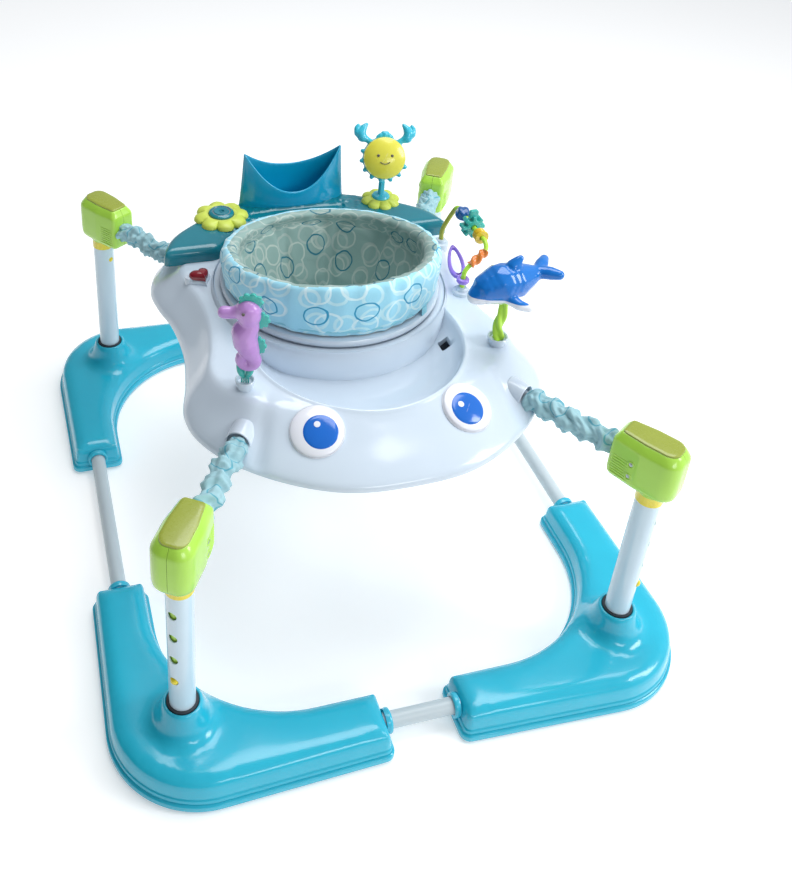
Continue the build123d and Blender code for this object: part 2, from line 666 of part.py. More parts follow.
with BuildPart() as whale_body:
    with BuildSketch(Plane(origin=(WHALE[0], WHALE[1], WHALE_Z), x_dir=(1, 0, 0), z_dir=(0, -1, 0))):
        with BuildLine():
            Spline((-60, 0), (-40, 25), (-8, 32), (28, 19), (56, 4))
            Line((56, 4), (56, 0))
            Line((56, 0), (-60, 0))
        make_face()
    revolve(axis=Axis((WHALE[0], WHALE[1], WHALE_Z), (1, 0, 0)))
    with BuildSketch(Plane.XY.offset(WHALE_Z)):
        with Locations((WHALE[0] + 62, WHALE[1])):
            Ellipse(14, 30)
        with Locations((WHALE[0] + 6, WHALE[1] - 30)):
            Ellipse(13, 22)
        with Locations((WHALE[0] + 6, WHALE[1] + 30)):
            Ellipse(13, 22)
    extrude(amount=4, both=True)
    with BuildSketch(Plane(origin=(WHALE[0], WHALE[1], WHALE_Z), x_dir=(1, 0, 0), z_dir=(0, -1, 0))):
        with BuildLine():
            Polyline((-14, 24), (10, 50), (22, 18), close=True)
        make_face()
    extrude(amount=4, both=True)
    with Locations((WHALE[0] + 4, WHALE[1], STALK_TOP - 10)):
        Cylinder(6, 22.0, mode=Mode.SUBTRACT)
save(whale_body, "whale_body")

# ---- bead arch --------------------------------------------------------------------------------
ARCH_X = 236.0
ARCH_Z = 466.0
ARCH_R = 3.6
with BuildPart() as bead_arch:
    with BuildLine() as route:
        FilletPolyline((ARCH_NEAR[0], ARCH_NEAR[1], SOCKET_TOP), (ARCH_NEAR[0], ARCH_NEAR[1], SOCKET_TOP + 26),
                       (ARCH_X, ARCH_NEAR[1] + 14, ARCH_Z), (ARCH_X, ARCH_FAR[1] + 2, ARCH_Z),
                       (ARCH_FAR[0], ARCH_FAR[1], SOCKET_TOP + 20),
                       (ARCH_FAR[0], ARCH_FAR[1], SOCKET_TOP), radius=14)
    with BuildSketch(Plane(origin=(ARCH_NEAR[0], ARCH_NEAR[1], SOCKET_TOP), z_dir=(0, 0, 1))):
        Circle(ARCH_R)
    sweep(path=route.wires()[0])
save(bead_arch, "bead_arch")


def bead(name, y, length, radius):
    """Turned ring that spins on the top run of the arch."""
    with BuildPart() as ring:
        with Locations(Location((ARCH_X, y, ARCH_Z), (90, 0, 0))):
            Cylinder(radius, length)
            Cylinder(ARCH_R + 0.5, length + 4, mode=Mode.SUBTRACT)
    save(ring, name)


bead("yellow_bead", 38, 15, 10)
bead("blue_bead", 104, 22, 11.5)

with BuildPart() as gear_bead:
    with BuildSketch(Plane(origin=(ARCH_X, 68, ARCH_Z), x_dir=(1, 0, 0), z_dir=(0, 1, 0))):
        Circle(15)
        with PolarLocations(16, 8):
            Rectangle(9, 7)
        Circle(ARCH_R + 0.5, mode=Mode.SUBTRACT)
    extrude(amount=9, both=True)
save(gear_bead, "gear_bead")

# leaf-shaped ring threaded on the arch's near leg
LEAF_Z = SOCKET_TOP + 15
LEAF_TURN = -10.0        # degrees, long axis of the leaf from +Y
LEAF_CENTRE = (ARCH_NEAR[0] + 9, ARCH_NEAR[1] + 50)
with BuildPart() as leaf_ring:
    with BuildSketch(Plane.XY.offset(LEAF_Z - 3)):
        with Locations((ARCH_NEAR[0], ARCH_NEAR[1])):
            Circle(9)
        with Locations(LEAF_CENTRE):
            Ellipse(14, 44, rotation=LEAF_TURN)
            Ellipse(7, 33, rotation=LEAF_TURN, mode=Mode.SUBTRACT)
        with Locations((ARCH_NEAR[0], ARCH_NEAR[1])):
            Circle(ARCH_R + 0.5, mode=Mode.SUBTRACT)
    extrude(amount=6)
save(leaf_ring, "leaf_ring")

# ---- seat: the turning ring and the fabric bucket ------------------------------------------------
with BuildPart() as seat_ring:
    seat_circle(RING_OUT, RING_BOTTOM, RING_TOP)
    fillet(seat_ring.faces().sort_by(Axis.Z)[-1].edges(), radius=4)
    seat_circle(WALL_IN - 3, RING_BOTTOM - 34, RING_BOTTOM)
    seat_circle(RING_IN, RING_BOTTOM - 60, RING_TOP + 10, Mode.SUBTRACT)
save(seat_ring, "seat_ring")

FABRIC = 4.0
with BuildPart() as seat_fabric:
    with BuildSketch(Plane(origin=(0, SEAT_Y, 0), x_dir=(1, 0, 0), z_dir=(0, -1, 0))):
        with BuildLine():
            Polyline((0, FABRIC_BOTTOM), (88, FABRIC_BOTTOM), (128, 350), (150, 406), (152, 416),
                     (160, 420), (162, FABRIC_TOP - 6), (156, FABRIC_TOP), (150, FABRIC_TOP - 6),
                     (147, 412), (124, 352), (86, FABRIC_BOTTOM + FABRIC), (0, FABRIC_BOTTOM + FABRIC),
                     close=True)
        make_face()
    revolve(axis=Axis((0, SEAT_Y, 0), (0, 0, 1)))
    for side in (-1, 1):
        with Locations(Location((side * 58, SEAT_Y - 66, 300), (40, side * 30, 0))):
            Cylinder(42, 110, mode=Mode.SUBTRACT)
    with Locations(Location((0, SEAT_Y, FABRIC_TOP - 35.0), (-FABRIC_SLANT, 0, 0))):
        Box(500, 500, 120, align=(Align.CENTER, Align.CENTER, Align.MIN), mode=Mode.SUBTRACT)
save(seat_fabric, "seat_fabric")
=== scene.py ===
# %% [markdown]
# # A baby activity jumper, dressed around its mechanical model
#
# The real thing is a floor frame of four hollow turquoise corners joined by thin steel tubes. Four white
# posts carry lime heads, and a spring inside a gathered sleeve runs from each head to a white play tray with
# a turning fabric seat. The mechanical parts are already modelled in CAD, so this script loads them as a
# fixed frame and only adds what the eye judges: soft moulded forms, cloth, and finishes. All shapes below are
# written in millimetres, and one function turns them into metres when a mesh is made.

# %% Load the frame
import math

import bmesh
import bpy
import numpy as np
from mathutils import Matrix, Vector, noise
from mathutils.geometry import delaunay_2d_cdt


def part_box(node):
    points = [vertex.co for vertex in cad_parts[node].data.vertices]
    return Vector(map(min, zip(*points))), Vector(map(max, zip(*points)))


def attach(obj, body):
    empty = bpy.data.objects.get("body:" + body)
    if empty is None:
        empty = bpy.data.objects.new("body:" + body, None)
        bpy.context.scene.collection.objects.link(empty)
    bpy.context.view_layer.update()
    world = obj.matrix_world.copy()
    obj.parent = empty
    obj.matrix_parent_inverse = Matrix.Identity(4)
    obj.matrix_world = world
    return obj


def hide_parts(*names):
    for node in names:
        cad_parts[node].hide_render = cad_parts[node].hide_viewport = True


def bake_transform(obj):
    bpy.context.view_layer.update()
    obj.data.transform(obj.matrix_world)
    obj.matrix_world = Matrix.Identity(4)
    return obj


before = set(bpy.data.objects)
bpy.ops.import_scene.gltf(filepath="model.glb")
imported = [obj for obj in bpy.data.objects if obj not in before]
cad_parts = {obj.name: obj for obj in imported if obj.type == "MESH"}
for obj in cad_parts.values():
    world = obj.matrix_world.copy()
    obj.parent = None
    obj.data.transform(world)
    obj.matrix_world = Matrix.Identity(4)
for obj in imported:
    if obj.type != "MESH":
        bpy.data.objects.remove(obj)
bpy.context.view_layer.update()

MM = 0.001
scene = bpy.context.scene


def middle(node):
    """The middle of a CAD node's box, in millimetres."""
    low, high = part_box(node)
    return (low + high) * 500


def top_of(node):
    """The height of a CAD node's highest point, in millimetres."""
    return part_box(node)[1].z * 1000


# %% [markdown]
# ## The camera
#
# The view is that of a person standing near the front left corner and looking down. We could aim a camera by
# eye, but a place, a turn, a pitch and a slight roll describe a hand-held view exactly. The sensor is fitted
# by its height because the frame is taller than wide. The lens is shifted to the right and down, which moves
# the object left and up in the frame without turning the camera, so upright posts keep their true lean.

# %% Camera
VIEW_PLACE = (-0.4448, -1.2268, 1.3339)
VIEW_TURN, VIEW_PITCH, VIEW_ROLL = 0.283, 0.5488, 0.040
camera_data = bpy.data.cameras.new("hand_held_camera")
camera_data.sensor_fit = "VERTICAL"
camera_data.sensor_height = 36.0
camera_data.lens = 43.38
camera_data.shift_x = 0.1236
camera_data.shift_y = -0.2471
camera = bpy.data.objects.new("hand_held_camera", camera_data)
scene.collection.objects.link(camera)
forward = Vector((math.sin(VIEW_TURN) * math.cos(VIEW_PITCH), math.cos(VIEW_TURN) * math.cos(VIEW_PITCH),
                  -math.sin(VIEW_PITCH)))
level = Vector((math.cos(VIEW_TURN), -math.sin(VIEW_TURN), 0))
above = level.cross(forward)
across = math.cos(VIEW_ROLL) * level + math.sin(VIEW_ROLL) * above
upward = math.cos(VIEW_ROLL) * above - math.sin(VIEW_ROLL) * level
turned = Matrix((across, upward, -forward)).transposed().to_4x4()
camera.matrix_world = Matrix.Translation(VIEW_PLACE) @ turned
scene.camera = camera
print("camera looks down by", round(math.degrees(VIEW_PITCH)), "degrees")

# %% [markdown]
# ## Floor and light
#
# A product shot has a plain pale sweep and soft light, so that the plastic shows long, gentle highlights. One
# big softbox overhead gives the main light, a second one from the right makes the bright streaks on glossy
# plastic, and a low strip in front lifts the near side. The world fills the shadows and is darker on the
# left, so that round parts turn away into shade there. The paper glows a little, which keeps it white.
# Smaller lamps would give hard spots.


# %% Colours, floor and lights
def linear(code):
    """A colour written as sRGB hex, as the linear values that Blender's shaders take."""
    parts = [int(code[i:i + 2], 16) / 255 for i in (0, 2, 4)]
    return tuple(c / 12.92 if c <= 0.04045 else ((c + 0.055) / 1.055) ** 2.4 for c in parts) + (1.0,)


def feed(tree, node, inputs):
    """Each named input of a node, linked from another node's output or set as a constant."""
    for socket, source in inputs.items():
        if isinstance(source, bpy.types.NodeSocket):
            tree.links.new(source, node.inputs[socket])
        else:
            node.inputs[socket].default_value = source


def add(tree, kind, inputs=None, **settings):
    """One node with its settings and its inputs. A setting can also name a socket, with _ for each space."""
    made = tree.nodes.new(kind)
    for name, value in settings.items():
        if hasattr(made, name):
            setattr(made, name, value)
        else:
            made.inputs[name.replace("_", " ")].default_value = value
    feed(tree, made, inputs or {})
    return made


def new_material(name):
    """An empty node tree with its shader and output, ready for a finish."""
    material = bpy.data.materials.new(name)
    material.use_nodes = True
    tree = material.node_tree
    tree.nodes.clear()
    shader = add(tree, "ShaderNodeBsdfPrincipled")
    add(tree, "ShaderNodeOutputMaterial", {"Surface": shader.outputs[0]})
    return material, tree, shader


LOW, HIGH, MIXED = 6, 7, 2  # a mix node's two colour inputs and its colour output
scene.view_settings.view_transform = "Standard"
world = bpy.data.worlds.new("pale_studio")
scene.world = world
world.use_nodes = True
heading = add(world.node_tree, "ShaderNodeTexCoord").outputs["Generated"]
sideways = add(world.node_tree, "ShaderNodeSeparateXYZ", {"Vector": heading}).outputs["X"]
room = add(world.node_tree, "ShaderNodeMapRange", {"Value": sideways}, From_Min=-0.9, From_Max=0.7,
           To_Min=0.1, To_Max=0.78)
sky = world.node_tree.nodes["Background"]
feed(world.node_tree, sky, {"Color": linear("F2F7FC"), "Strength": room.outputs["Result"]})

backdrop, backdrop_tree, backdrop_shader = new_material("matt_paper_sweep")
grain = add(backdrop_tree, "ShaderNodeTexNoise", Scale=40.0)
bump = add(backdrop_tree, "ShaderNodeBump", {"Height": grain.outputs["Fac"]}, Strength=0.05)
feed(backdrop_tree, backdrop_shader, {"Base Color": linear("F6F6F6"), "Roughness": 0.9,
                                      "Emission Color": linear("FFFFFF"), "Emission Strength": 0.3,
                                      "Normal": bump.outputs["Normal"]})
floor_mesh = bpy.data.meshes.new("paper_sweep")
floor_mesh.from_pydata([(-9, -9, 0), (9, -9, 0), (9, 9, 0), (-9, 9, 0)], [], [(0, 1, 2, 3)])
floor = bpy.data.objects.new("paper_sweep", floor_mesh)
floor_mesh.materials.append(backdrop)
scene.collection.objects.link(floor)


def softbox(name, place, aim, size, power):
    """A rectangular studio lamp at place, pointed at aim."""
    lamp = bpy.data.lights.new(name, "AREA")
    lamp.shape = "RECTANGLE"
    lamp.size, lamp.size_y = size
    lamp.energy = power
    stand = bpy.data.objects.new(name, lamp)
    stand.location = place
    stand.rotation_euler = (Vector(aim) - Vector(place)).to_track_quat("-Z", "Y").to_euler()
    scene.collection.objects.link(stand)


softbox("overhead_softbox", (0.5, 0.5, 2.6), (0, 0, 0.2), (1.9, 1.5), 40)
softbox("right_softbox", (2.0, -1.1, 1.7), (0, 0, 0.3), (0.7, 1.2), 24)
softbox("front_strip", (0.5, -2.4, 1.5), (0, -0.1, 0.3), (1.0, 0.4), 8)
print("two softboxes and a strip light")

# %% [markdown]
# ## Moulded plastics and enamels
#
# Nearly every hard part is injection moulded or blow moulded polypropylene or ABS, with a polished mould for
# gloss. A clean flat colour looks like computer plastic. The real one has a faint mottle in its pigment, a
# slight waviness in its skin, and edges that are rubbed a little paler. One recipe makes all of these, and
# each use gives the real plastic's colour, gloss and the size of its grain in millimetres.


# %% The moulded plastic recipe
def scale_for(size_mm):
    """Noise scale whose features are about size_mm across, on a model in metres."""
    return 1000.0 / size_mm


def moulded(name, colour, shade, rough=0.22, grain_mm=1.2, grain_depth=0.03, wave_mm=30.0, wear="FFFFFF",
            soft=0.0):
    """Polished or satin mouldings: pigment mottle, mould grain, slow sink waves and rubbed edges."""
    material, tree, shader = new_material(name)
    place = add(tree, "ShaderNodeTexCoord").outputs["Object"]
    cloud = add(tree, "ShaderNodeTexNoise", {"Vector": place}, Scale=scale_for(wave_mm), Detail=3.0)
    tint = add(tree, "ShaderNodeMix", {"Factor": cloud.outputs["Fac"], LOW: linear(colour),
                                       HIGH: linear(shade)}, data_type="RGBA")
    edge = add(tree, "ShaderNodeNewGeometry").outputs["Pointiness"]
    rubbed = add(tree, "ShaderNodeMapRange", {"Value": edge}, From_Min=0.53, From_Max=0.62, To_Max=0.16)
    worn = add(tree, "ShaderNodeMix", {"Factor": rubbed.outputs["Result"], LOW: tint.outputs[MIXED],
                                       HIGH: linear(wear)}, data_type="RGBA")
    scuffs = add(tree, "ShaderNodeTexNoise", {"Vector": place}, Scale=scale_for(9), Detail=6.0, Roughness=0.7)
    gloss = add(tree, "ShaderNodeMapRange", {"Value": scuffs.outputs["Fac"]}, To_Min=rough * 0.75,
                To_Max=rough * 1.35)
    grit = add(tree, "ShaderNodeTexNoise", {"Vector": place}, Scale=scale_for(grain_mm), Detail=2.0)
    skin_bump = add(tree, "ShaderNodeBump", {"Height": grit.outputs["Fac"]}, Strength=grain_depth,
                    Distance=0.0006).outputs["Normal"]
    sink = add(tree, "ShaderNodeBump", {"Height": cloud.outputs["Fac"], "Normal": skin_bump}, Strength=0.12,
               Distance=0.002)
    feed(tree, shader, {"Base Color": worn.outputs[MIXED], "Roughness": gloss.outputs["Result"],
                        "Normal": sink.outputs["Normal"], "IOR": 1.49,
                        "Coat Weight": 0.35 if rough < 0.3 else 0.0, "Coat Roughness": 0.08})
    if soft:
        feed(tree, shader, {"Subsurface Weight": soft, "Subsurface Radius": (0.004, 0.004, 0.004)})
    return material


# Blow-moulded polypropylene: thick, waxy gloss with slow waves where the wall cooled unevenly.
blow_moulded_turquoise = moulded("blow_moulded_polypropylene", "1EBEDA", "18B0CE", 0.18, 0.9, 0.05, 70.0,
                                 "9FE4F2")
# Injection-moulded ABS, polished: the tray's cool white with a faint blue cast.
white_abs = moulded("polished_white_abs", "D3E0EC", "CAD8E6", 0.14, 0.8, 0.02, 90.0)
eye_abs = moulded("eye_white_abs", "F2F3FA", "EAEDF6", 0.16, 0.8, 0.02, 40.0)
lime_abs = moulded("lime_abs", "B2E352", "A8DA4A", 0.22, 1.0, 0.04, 30.0, "D6F08C")
# The top plates' darker olive-lime is painted shade: they are the heads' own lime plastic in shade.
lime_painted_shade = moulded("lime_abs_painted_shade", "9CA83A", "929E32", 0.26, 1.0, 0.04, 30.0, "C4D46A")
yellow_abs = moulded("yellow_abs", "F0DC2A", "E6D020", 0.25, 1.0, 0.03, 15.0, "FFF4A0")
teal_abs = moulded("teal_abs", "087E8E", "066F80", 0.17, 1.0, 0.04, 35.0, "4FB8C6")
tail_abs = moulded("bright_blue_abs", "08A4CC", "0698C2", 0.17, 1.0, 0.04, 35.0, "6CCBE6")
petal_lime = moulded("petal_yellow_lime", "CFDD5E", "C2D24E", 0.34, 1.5, 0.05, 18.0, "E6EE9C", 0.05)
aqua_abs = moulded("aqua_abs", "3FC2DA", "2FB4CE", 0.22, 0.9, 0.03, 14.0, "A6E6F0")
fin_teal = moulded("fin_teal_abs", "3DB9AE", "2FA89E", 0.25, 0.9, 0.04, 14.0, "8CDCD2")
sun_yellow = moulded("sun_yellow_abs", "E7E252", "DED644", 0.24, 1.0, 0.02, 20.0)
heart_red = moulded("deep_red_abs", "8E1024", "7C0C1E", 0.16, 1.0, 0.02, 12.0, "C04A5C")
lilac_abs = moulded("lilac_abs", "C596D8", "BA88D0", 0.24, 1.0, 0.03, 18.0, "DEC0EA", 0.05)
stalk_lime = moulded("flexible_lime_tpe", "BCEB4A", "AEDC40", 0.36, 1.2, 0.05, 10.0, "DCF68E", 0.08)
olive_tpe = moulded("olive_flexible_tpe", "A9AE3C", "9CA234", 0.36, 1.2, 0.05, 10.0)
bead_blue = moulded("translucent_blue_bead", "1E62A8", "184F8E", 0.15, 1.0, 0.03, 9.0, "5C96D0")
bead_yellow = moulded("amber_yellow_bead", "E6C32A", "D8B41E", 0.18, 1.0, 0.03, 9.0, "F4DF7C")
bead_orange = moulded("orange_spiral_bead", "EE8A3A", "E27A28", 0.2, 1.0, 0.03, 9.0, "F8B884")
leaf_purple = moulded("purple_leaf_abs", "9A7BE0", "8D6CD6", 0.2, 1.0, 0.03, 15.0, "C0AEF0")
# Oven-baked enamel on steel: an orange-peel skin a couple of millimetres across.
white_enamel = moulded("white_enamelled_steel", "C6DFEC", "BCD6E6", 0.2, 2.2, 0.1, 60.0)
grey_enamel = moulded("satin_grey_enamelled_steel", "BCCBD1", "B0C0C8", 0.3, 2.0, 0.12, 50.0)
# Moulded rubber is matt and slightly dusty.
dark_rubber = moulded("moulded_dark_rubber", "34393F", "2A2F35", 0.7, 0.7, 0.2, 12.0, "5A6068")
print(len(bpy.data.materials), "materials so far")

# %% [markdown]
# ### Zinc-plated screws and springs
#
# Plated steel is a true metal, so its colour tints the reflections and there is no clear coat. Wire drawing
# and plating leave faint lines along the part, which a stretched noise gives.

# %% Zinc-plated steel
zinc, zinc_tree, zinc_shader = new_material("zinc_plated_steel")
zinc_place = add(zinc_tree, "ShaderNodeTexCoord").outputs["Object"]
zinc_stretch = add(zinc_tree, "ShaderNodeMapping", {"Vector": zinc_place}, Scale=(1.0, 1.0, 0.15))
zinc_lines = add(zinc_tree, "ShaderNodeTexNoise", {"Vector": zinc_stretch.outputs[0]}, Scale=scale_for(0.8))
zinc_tone = add(zinc_tree, "ShaderNodeValToRGB", {"Fac": zinc_lines.outputs["Fac"]})
zinc_tone.color_ramp.elements[0].color = linear("9FA3A8")
zinc_tone.color_ramp.elements[1].color = linear("C6CACD")
zinc_rough = add(zinc_tree, "ShaderNodeMapRange", {"Value": zinc_lines.outputs["Fac"]}, To_Min=0.28,
                 To_Max=0.45)
feed(zinc_tree, zinc_shader, {"Metallic": 1.0, "Base Color": zinc_tone.outputs["Color"],
                              "Roughness": zinc_rough.outputs["Result"]})

# %% [markdown]
# ### Printed parts: whale, sun face and eyes
#
# The whale is moulded in one piece with a white belly masked off when the blue was sprayed, so the line
# between them follows the shape. The line is worked out from the height on the piece, not from a painted map,
# so it stays sharp at any size. The sun's eyes and smile, and the irises on the tray, are raised prints, so
# they are thin pieces of their own with these glossy inks.

# %% Sprayed whale and glossy inks
WHALE_AXIS_Z = (top_of("whale_stalk") + 24) * MM
whale_spray = moulded("whale_blue_over_white", "0478D2", "046CC4", 0.12, 1.0, 0.02, 25.0, "5CB0F0")
spray_tree = whale_spray.node_tree
spray_shader = next(n for n in spray_tree.nodes if n.type == "BSDF_PRINCIPLED")
blue_source = spray_shader.inputs["Base Color"].links[0].from_socket
spray_place = add(spray_tree, "ShaderNodeTexCoord").outputs["Object"]
spray_height = add(spray_tree, "ShaderNodeSeparateXYZ", {"Vector": spray_place}).outputs["Z"]
mask = add(spray_tree, "ShaderNodeMapRange", {"Value": spray_height}, From_Min=WHALE_AXIS_Z - 0.0102,
           From_Max=WHALE_AXIS_Z - 0.0096)
spray = add(spray_tree, "ShaderNodeMix", {"Factor": mask.outputs["Result"], LOW: linear("EDF0F8"),
                                          HIGH: blue_source}, data_type="RGBA")
feed(spray_tree, spray_shader, {"Base Color": spray.outputs[MIXED]})
iris_ink = moulded("blue_iris_ink", "0A6CD0", "0862C2", 0.12, 1.0, 0.01, 25.0)
dark_ink = moulded("dark_brown_ink", "3A2E10", "2E240C", 0.3, 1.0, 0.01, 5.0)
# The dark teal ring is painted shade: it sits in the push button's groove, which is the button's own teal in
# shade.
shadow_teal = moulded("teal_groove_painted_shade", "075A6C", "064E5E", 0.3, 1.0, 0.03, 12.0)

# %% [markdown]
# ### Cloth: printed seat fabric and plain sleeves
#
# The seat is padded polyester tricot and the sleeves are plain poplin. A weave of crossed threads shows as a
# fine bump. The real threads are about 0.3 mm and would vanish from this far, so they are drawn at 1.1 mm, as
# coarse as they need to be seen. The seat's print is loose teal circles over paler overlapping ones. A
# Voronoi pattern gives one centre per cell, and the distance to it, compared with a radius, draws a ring of a
# real size.


# %% Woven cloth recipe
THREAD_MM = 1.1
BANDS_PER_SCALE = 3.18  # a wave texture draws 20 / 2 pi bands across one unit at scale 1


def woven(name, colour, shade, rings=()):
    """Plain weave over a two-tone base, with printed rings of (cell mm, radius mm, line mm, colour, seed)."""
    material, tree, shader = new_material(name)
    flat = add(tree, "ShaderNodeUVMap", uv_map="cut").outputs["UV"]
    place = add(tree, "ShaderNodeTexCoord").outputs["Object"]
    cloud = add(tree, "ShaderNodeTexNoise", {"Vector": place}, Scale=scale_for(45), Detail=4.0)
    base = add(tree, "ShaderNodeMix", {"Factor": cloud.outputs["Fac"], LOW: linear(colour),
                                       HIGH: linear(shade)}, data_type="RGBA")
    tone = base.outputs[MIXED]
    for cell_mm, radius_mm, line_mm, ink, seed in rings:
        shifted = add(tree, "ShaderNodeMapping", {"Vector": flat}, Location=(seed * 0.37, seed * 0.21, 0.0))
        wobble = add(tree, "ShaderNodeTexNoise", {"Vector": flat}, Scale=scale_for(30))
        bent = add(tree, "ShaderNodeVectorMath", {0: wobble.outputs["Color"]}, operation="SCALE")
        bent.inputs["Scale"].default_value = 0.009
        moved = add(tree, "ShaderNodeVectorMath", {0: shifted.outputs[0], 1: bent.outputs[0]},
                    operation="ADD")
        cells = add(tree, "ShaderNodeTexVoronoi", {"Vector": moved.outputs[0]}, voronoi_dimensions="2D",
                    Scale=scale_for(cell_mm), Randomness=0.55)
        off = add(tree, "ShaderNodeMath", {0: cells.outputs["Distance"]}, operation="SUBTRACT")
        off.inputs[1].default_value = radius_mm / cell_mm
        away = add(tree, "ShaderNodeMath", {0: off.outputs[0]}, operation="ABSOLUTE")
        line = add(tree, "ShaderNodeMapRange", {"Value": away.outputs[0]}, From_Min=0.4 * line_mm / cell_mm,
                   From_Max=0.6 * line_mm / cell_mm, To_Min=1.0, To_Max=0.0)
        printed = add(tree, "ShaderNodeMix", {"Factor": line.outputs["Result"], LOW: tone, HIGH: linear(ink)},
                      data_type="RGBA")
        tone = printed.outputs[MIXED]
    weave = []
    for direction in ("X", "Y"):
        threads = add(tree, "ShaderNodeTexWave", {"Vector": flat}, bands_direction=direction,
                      Scale=scale_for(THREAD_MM) / BANDS_PER_SCALE, Distortion=0.4)
        weave.append(threads.outputs["Fac"])
    crossed = add(tree, "ShaderNodeMath", {0: weave[0], 1: weave[1]}, operation="MULTIPLY")
    cloth_bump = add(tree, "ShaderNodeBump", {"Height": crossed.outputs[0]}, Strength=0.25,
                     Distance=0.0008).outputs["Normal"]
    creases = add(tree, "ShaderNodeTexNoise", {"Vector": place}, Scale=scale_for(16), Detail=5.0,
                  Distortion=0.6)
    crumple = add(tree, "ShaderNodeBump", {"Height": creases.outputs["Fac"], "Normal": cloth_bump},
                  Strength=0.3, Distance=0.003)
    fuzz = add(tree, "ShaderNodeMapRange", {"Value": crossed.outputs[0]}, To_Min=0.72, To_Max=0.9)
    feed(tree, shader, {"Base Color": tone, "Roughness": fuzz.outputs["Result"], "Sheen Weight": 0.25,
                        "Normal": crumple.outputs["Normal"], "Sheen Roughness": 0.4})
    return material


seat_outside = woven("printed_tricot_aqua", "A9E4F6", "98D8EE",
                     [(38, 13.5, 4.5, "C4ECF6", 1.0), (52, 17, 3.2, "D8F4FA", 2.0),
                      (74, 16, 2.4, "2F9CC4", 3.0)])
# The bucket's inside is the outside print again in darker, greyer colours: painted shade, as it lies in
# shade.
seat_inside_painted_shade = woven("printed_tricot_painted_shade", "94B0AA", "86A5A0",
                    [(44, 15, 4.5, "A5B8B2", 1.0), (50, 17, 3.0, "B4C4BC", 2.0),
                     (78, 17, 2.8, "2E7486", 3.0)])
sleeve_poplin = woven("gathered_poplin", "A3CBD3", "92BCC6", [(60, 18, 2.5, "5FA9BC", 4.0)])
edge_binding = woven("binding_tape", "8FD3E4", "84C8DA")
print(len(bpy.data.materials), "materials in all")

# %% [markdown]
# ## Building meshes from maker's shapes
#
# Moulded parts come from a few kinds of form: things turned on a lathe, tubes along a path, flat cut shapes
# with soft edges, and relief pressed into a sheet. Each helper below returns plain points and faces in
# millimetres, so that several forms can be joined into one moulding before Blender sees it. Sculpting by hand
# would also work, but it couldn't be rebuilt from the frame's sizes.


# %% Points, faces and pieces
def joined(*forms):
    """Several (points, faces) forms as one."""
    points, faces = [], []
    for form_points, form_faces in forms:
        start = len(points)
        points.extend(tuple(p) for p in form_points)
        faces.extend(tuple(i + start for i in face) for face in form_faces)
    return points, faces


def piece(name, form, finish, body, replaces=(), sharp=35, ride=True):
    """A Blender object from a form in millimetres, with its finish, riding on its body."""
    points, faces = form
    mesh = bpy.data.meshes.new(name)
    mesh.from_pydata([Vector(p) * MM for p in points], [], faces)
    mesh.validate()
    tidy = bmesh.new()
    tidy.from_mesh(mesh)
    bmesh.ops.remove_doubles(tidy, verts=tidy.verts, dist=1e-6)
    bmesh.ops.recalc_face_normals(tidy, faces=tidy.faces)
    tidy.to_mesh(mesh)
    tidy.free()
    mesh.shade_smooth()
    mesh.set_sharp_from_angle(angle=math.radians(sharp))
    made = bpy.data.objects.new(name, mesh)
    scene.collection.objects.link(made)
    mesh.materials.append(finish)
    if ride:
        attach(made, body)
    if replaces:
        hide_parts(*replaces)
    return made


def skin(rings, caps=(True, True), closed=False):
    """Faces between rings of equal length, with flat caps at the ends or joined round."""
    rings = [np.asarray(r, float) for r in rings]
    n, count = len(rings[0]), len(rings)
    points = np.concatenate(rings)
    faces = []
    for k in range(count if closed else count - 1):
        here, there = k * n, (k + 1) % count * n
        faces += [(here + i, here + (i + 1) % n, there + (i + 1) % n, there + i) for i in range(n)]
    if not closed and caps[0]:
        faces.append(tuple(range(n - 1, -1, -1)))
    if not closed and caps[1]:
        faces.append(tuple(range((count - 1) * n, count * n)))
    return points.tolist(), faces


def full_turn(count):
    """Angles once round, evenly parted."""
    return np.linspace(0, 2 * math.pi, count, endpoint=False)


def axes_for(direction):
    """Two directions square to the given one and to each other."""
    z = Vector(direction).normalized()
    x = Vector((0, 0, 1)).cross(z)
    x = x.normalized() if x.length > 1e-6 else Vector((1, 0, 0))
    return x, z.cross(x), z


def lathe(profile, at, direction=(0, 0, 1), segments=64, closed=False):
    """A turned form from (radius, height) pairs along an axis through at."""
    x, y, z = axes_for(direction)
    angles = full_turn(segments)
    rings = []
    for radius, height in profile:
        middle_point = np.array(at) + height * np.array(z)
        ring = middle_point + np.outer(radius * np.cos(angles), x) + np.outer(radius * np.sin(angles), y)
        rings.append(ring)
    return skin(rings, closed=closed)


def curve_through(points, count, closed=False):
    """A smooth curve through every point, as count evenly parted samples."""
    p = np.asarray(points, float)
    if closed:
        p = np.concatenate([p[-1:], p, p[:2]])
    else:
        p = np.concatenate([2 * p[:1] - p[1:2], p, 2 * p[-1:] - p[-2:-1]])
    spans = len(p) - 3
    t = np.linspace(0, spans, count, endpoint=not closed)
    k = np.minimum(t.astype(int), spans - 1)
    f = (t - k)[:, None]
    a, b, c, d = p[k], p[k + 1], p[k + 2], p[k + 3]
    return 0.5 * (2 * b + (c - a) * f + (2 * a - 5 * b + 4 * c - d) * f ** 2
                  + (3 * b - a - 3 * c + d) * f ** 3)


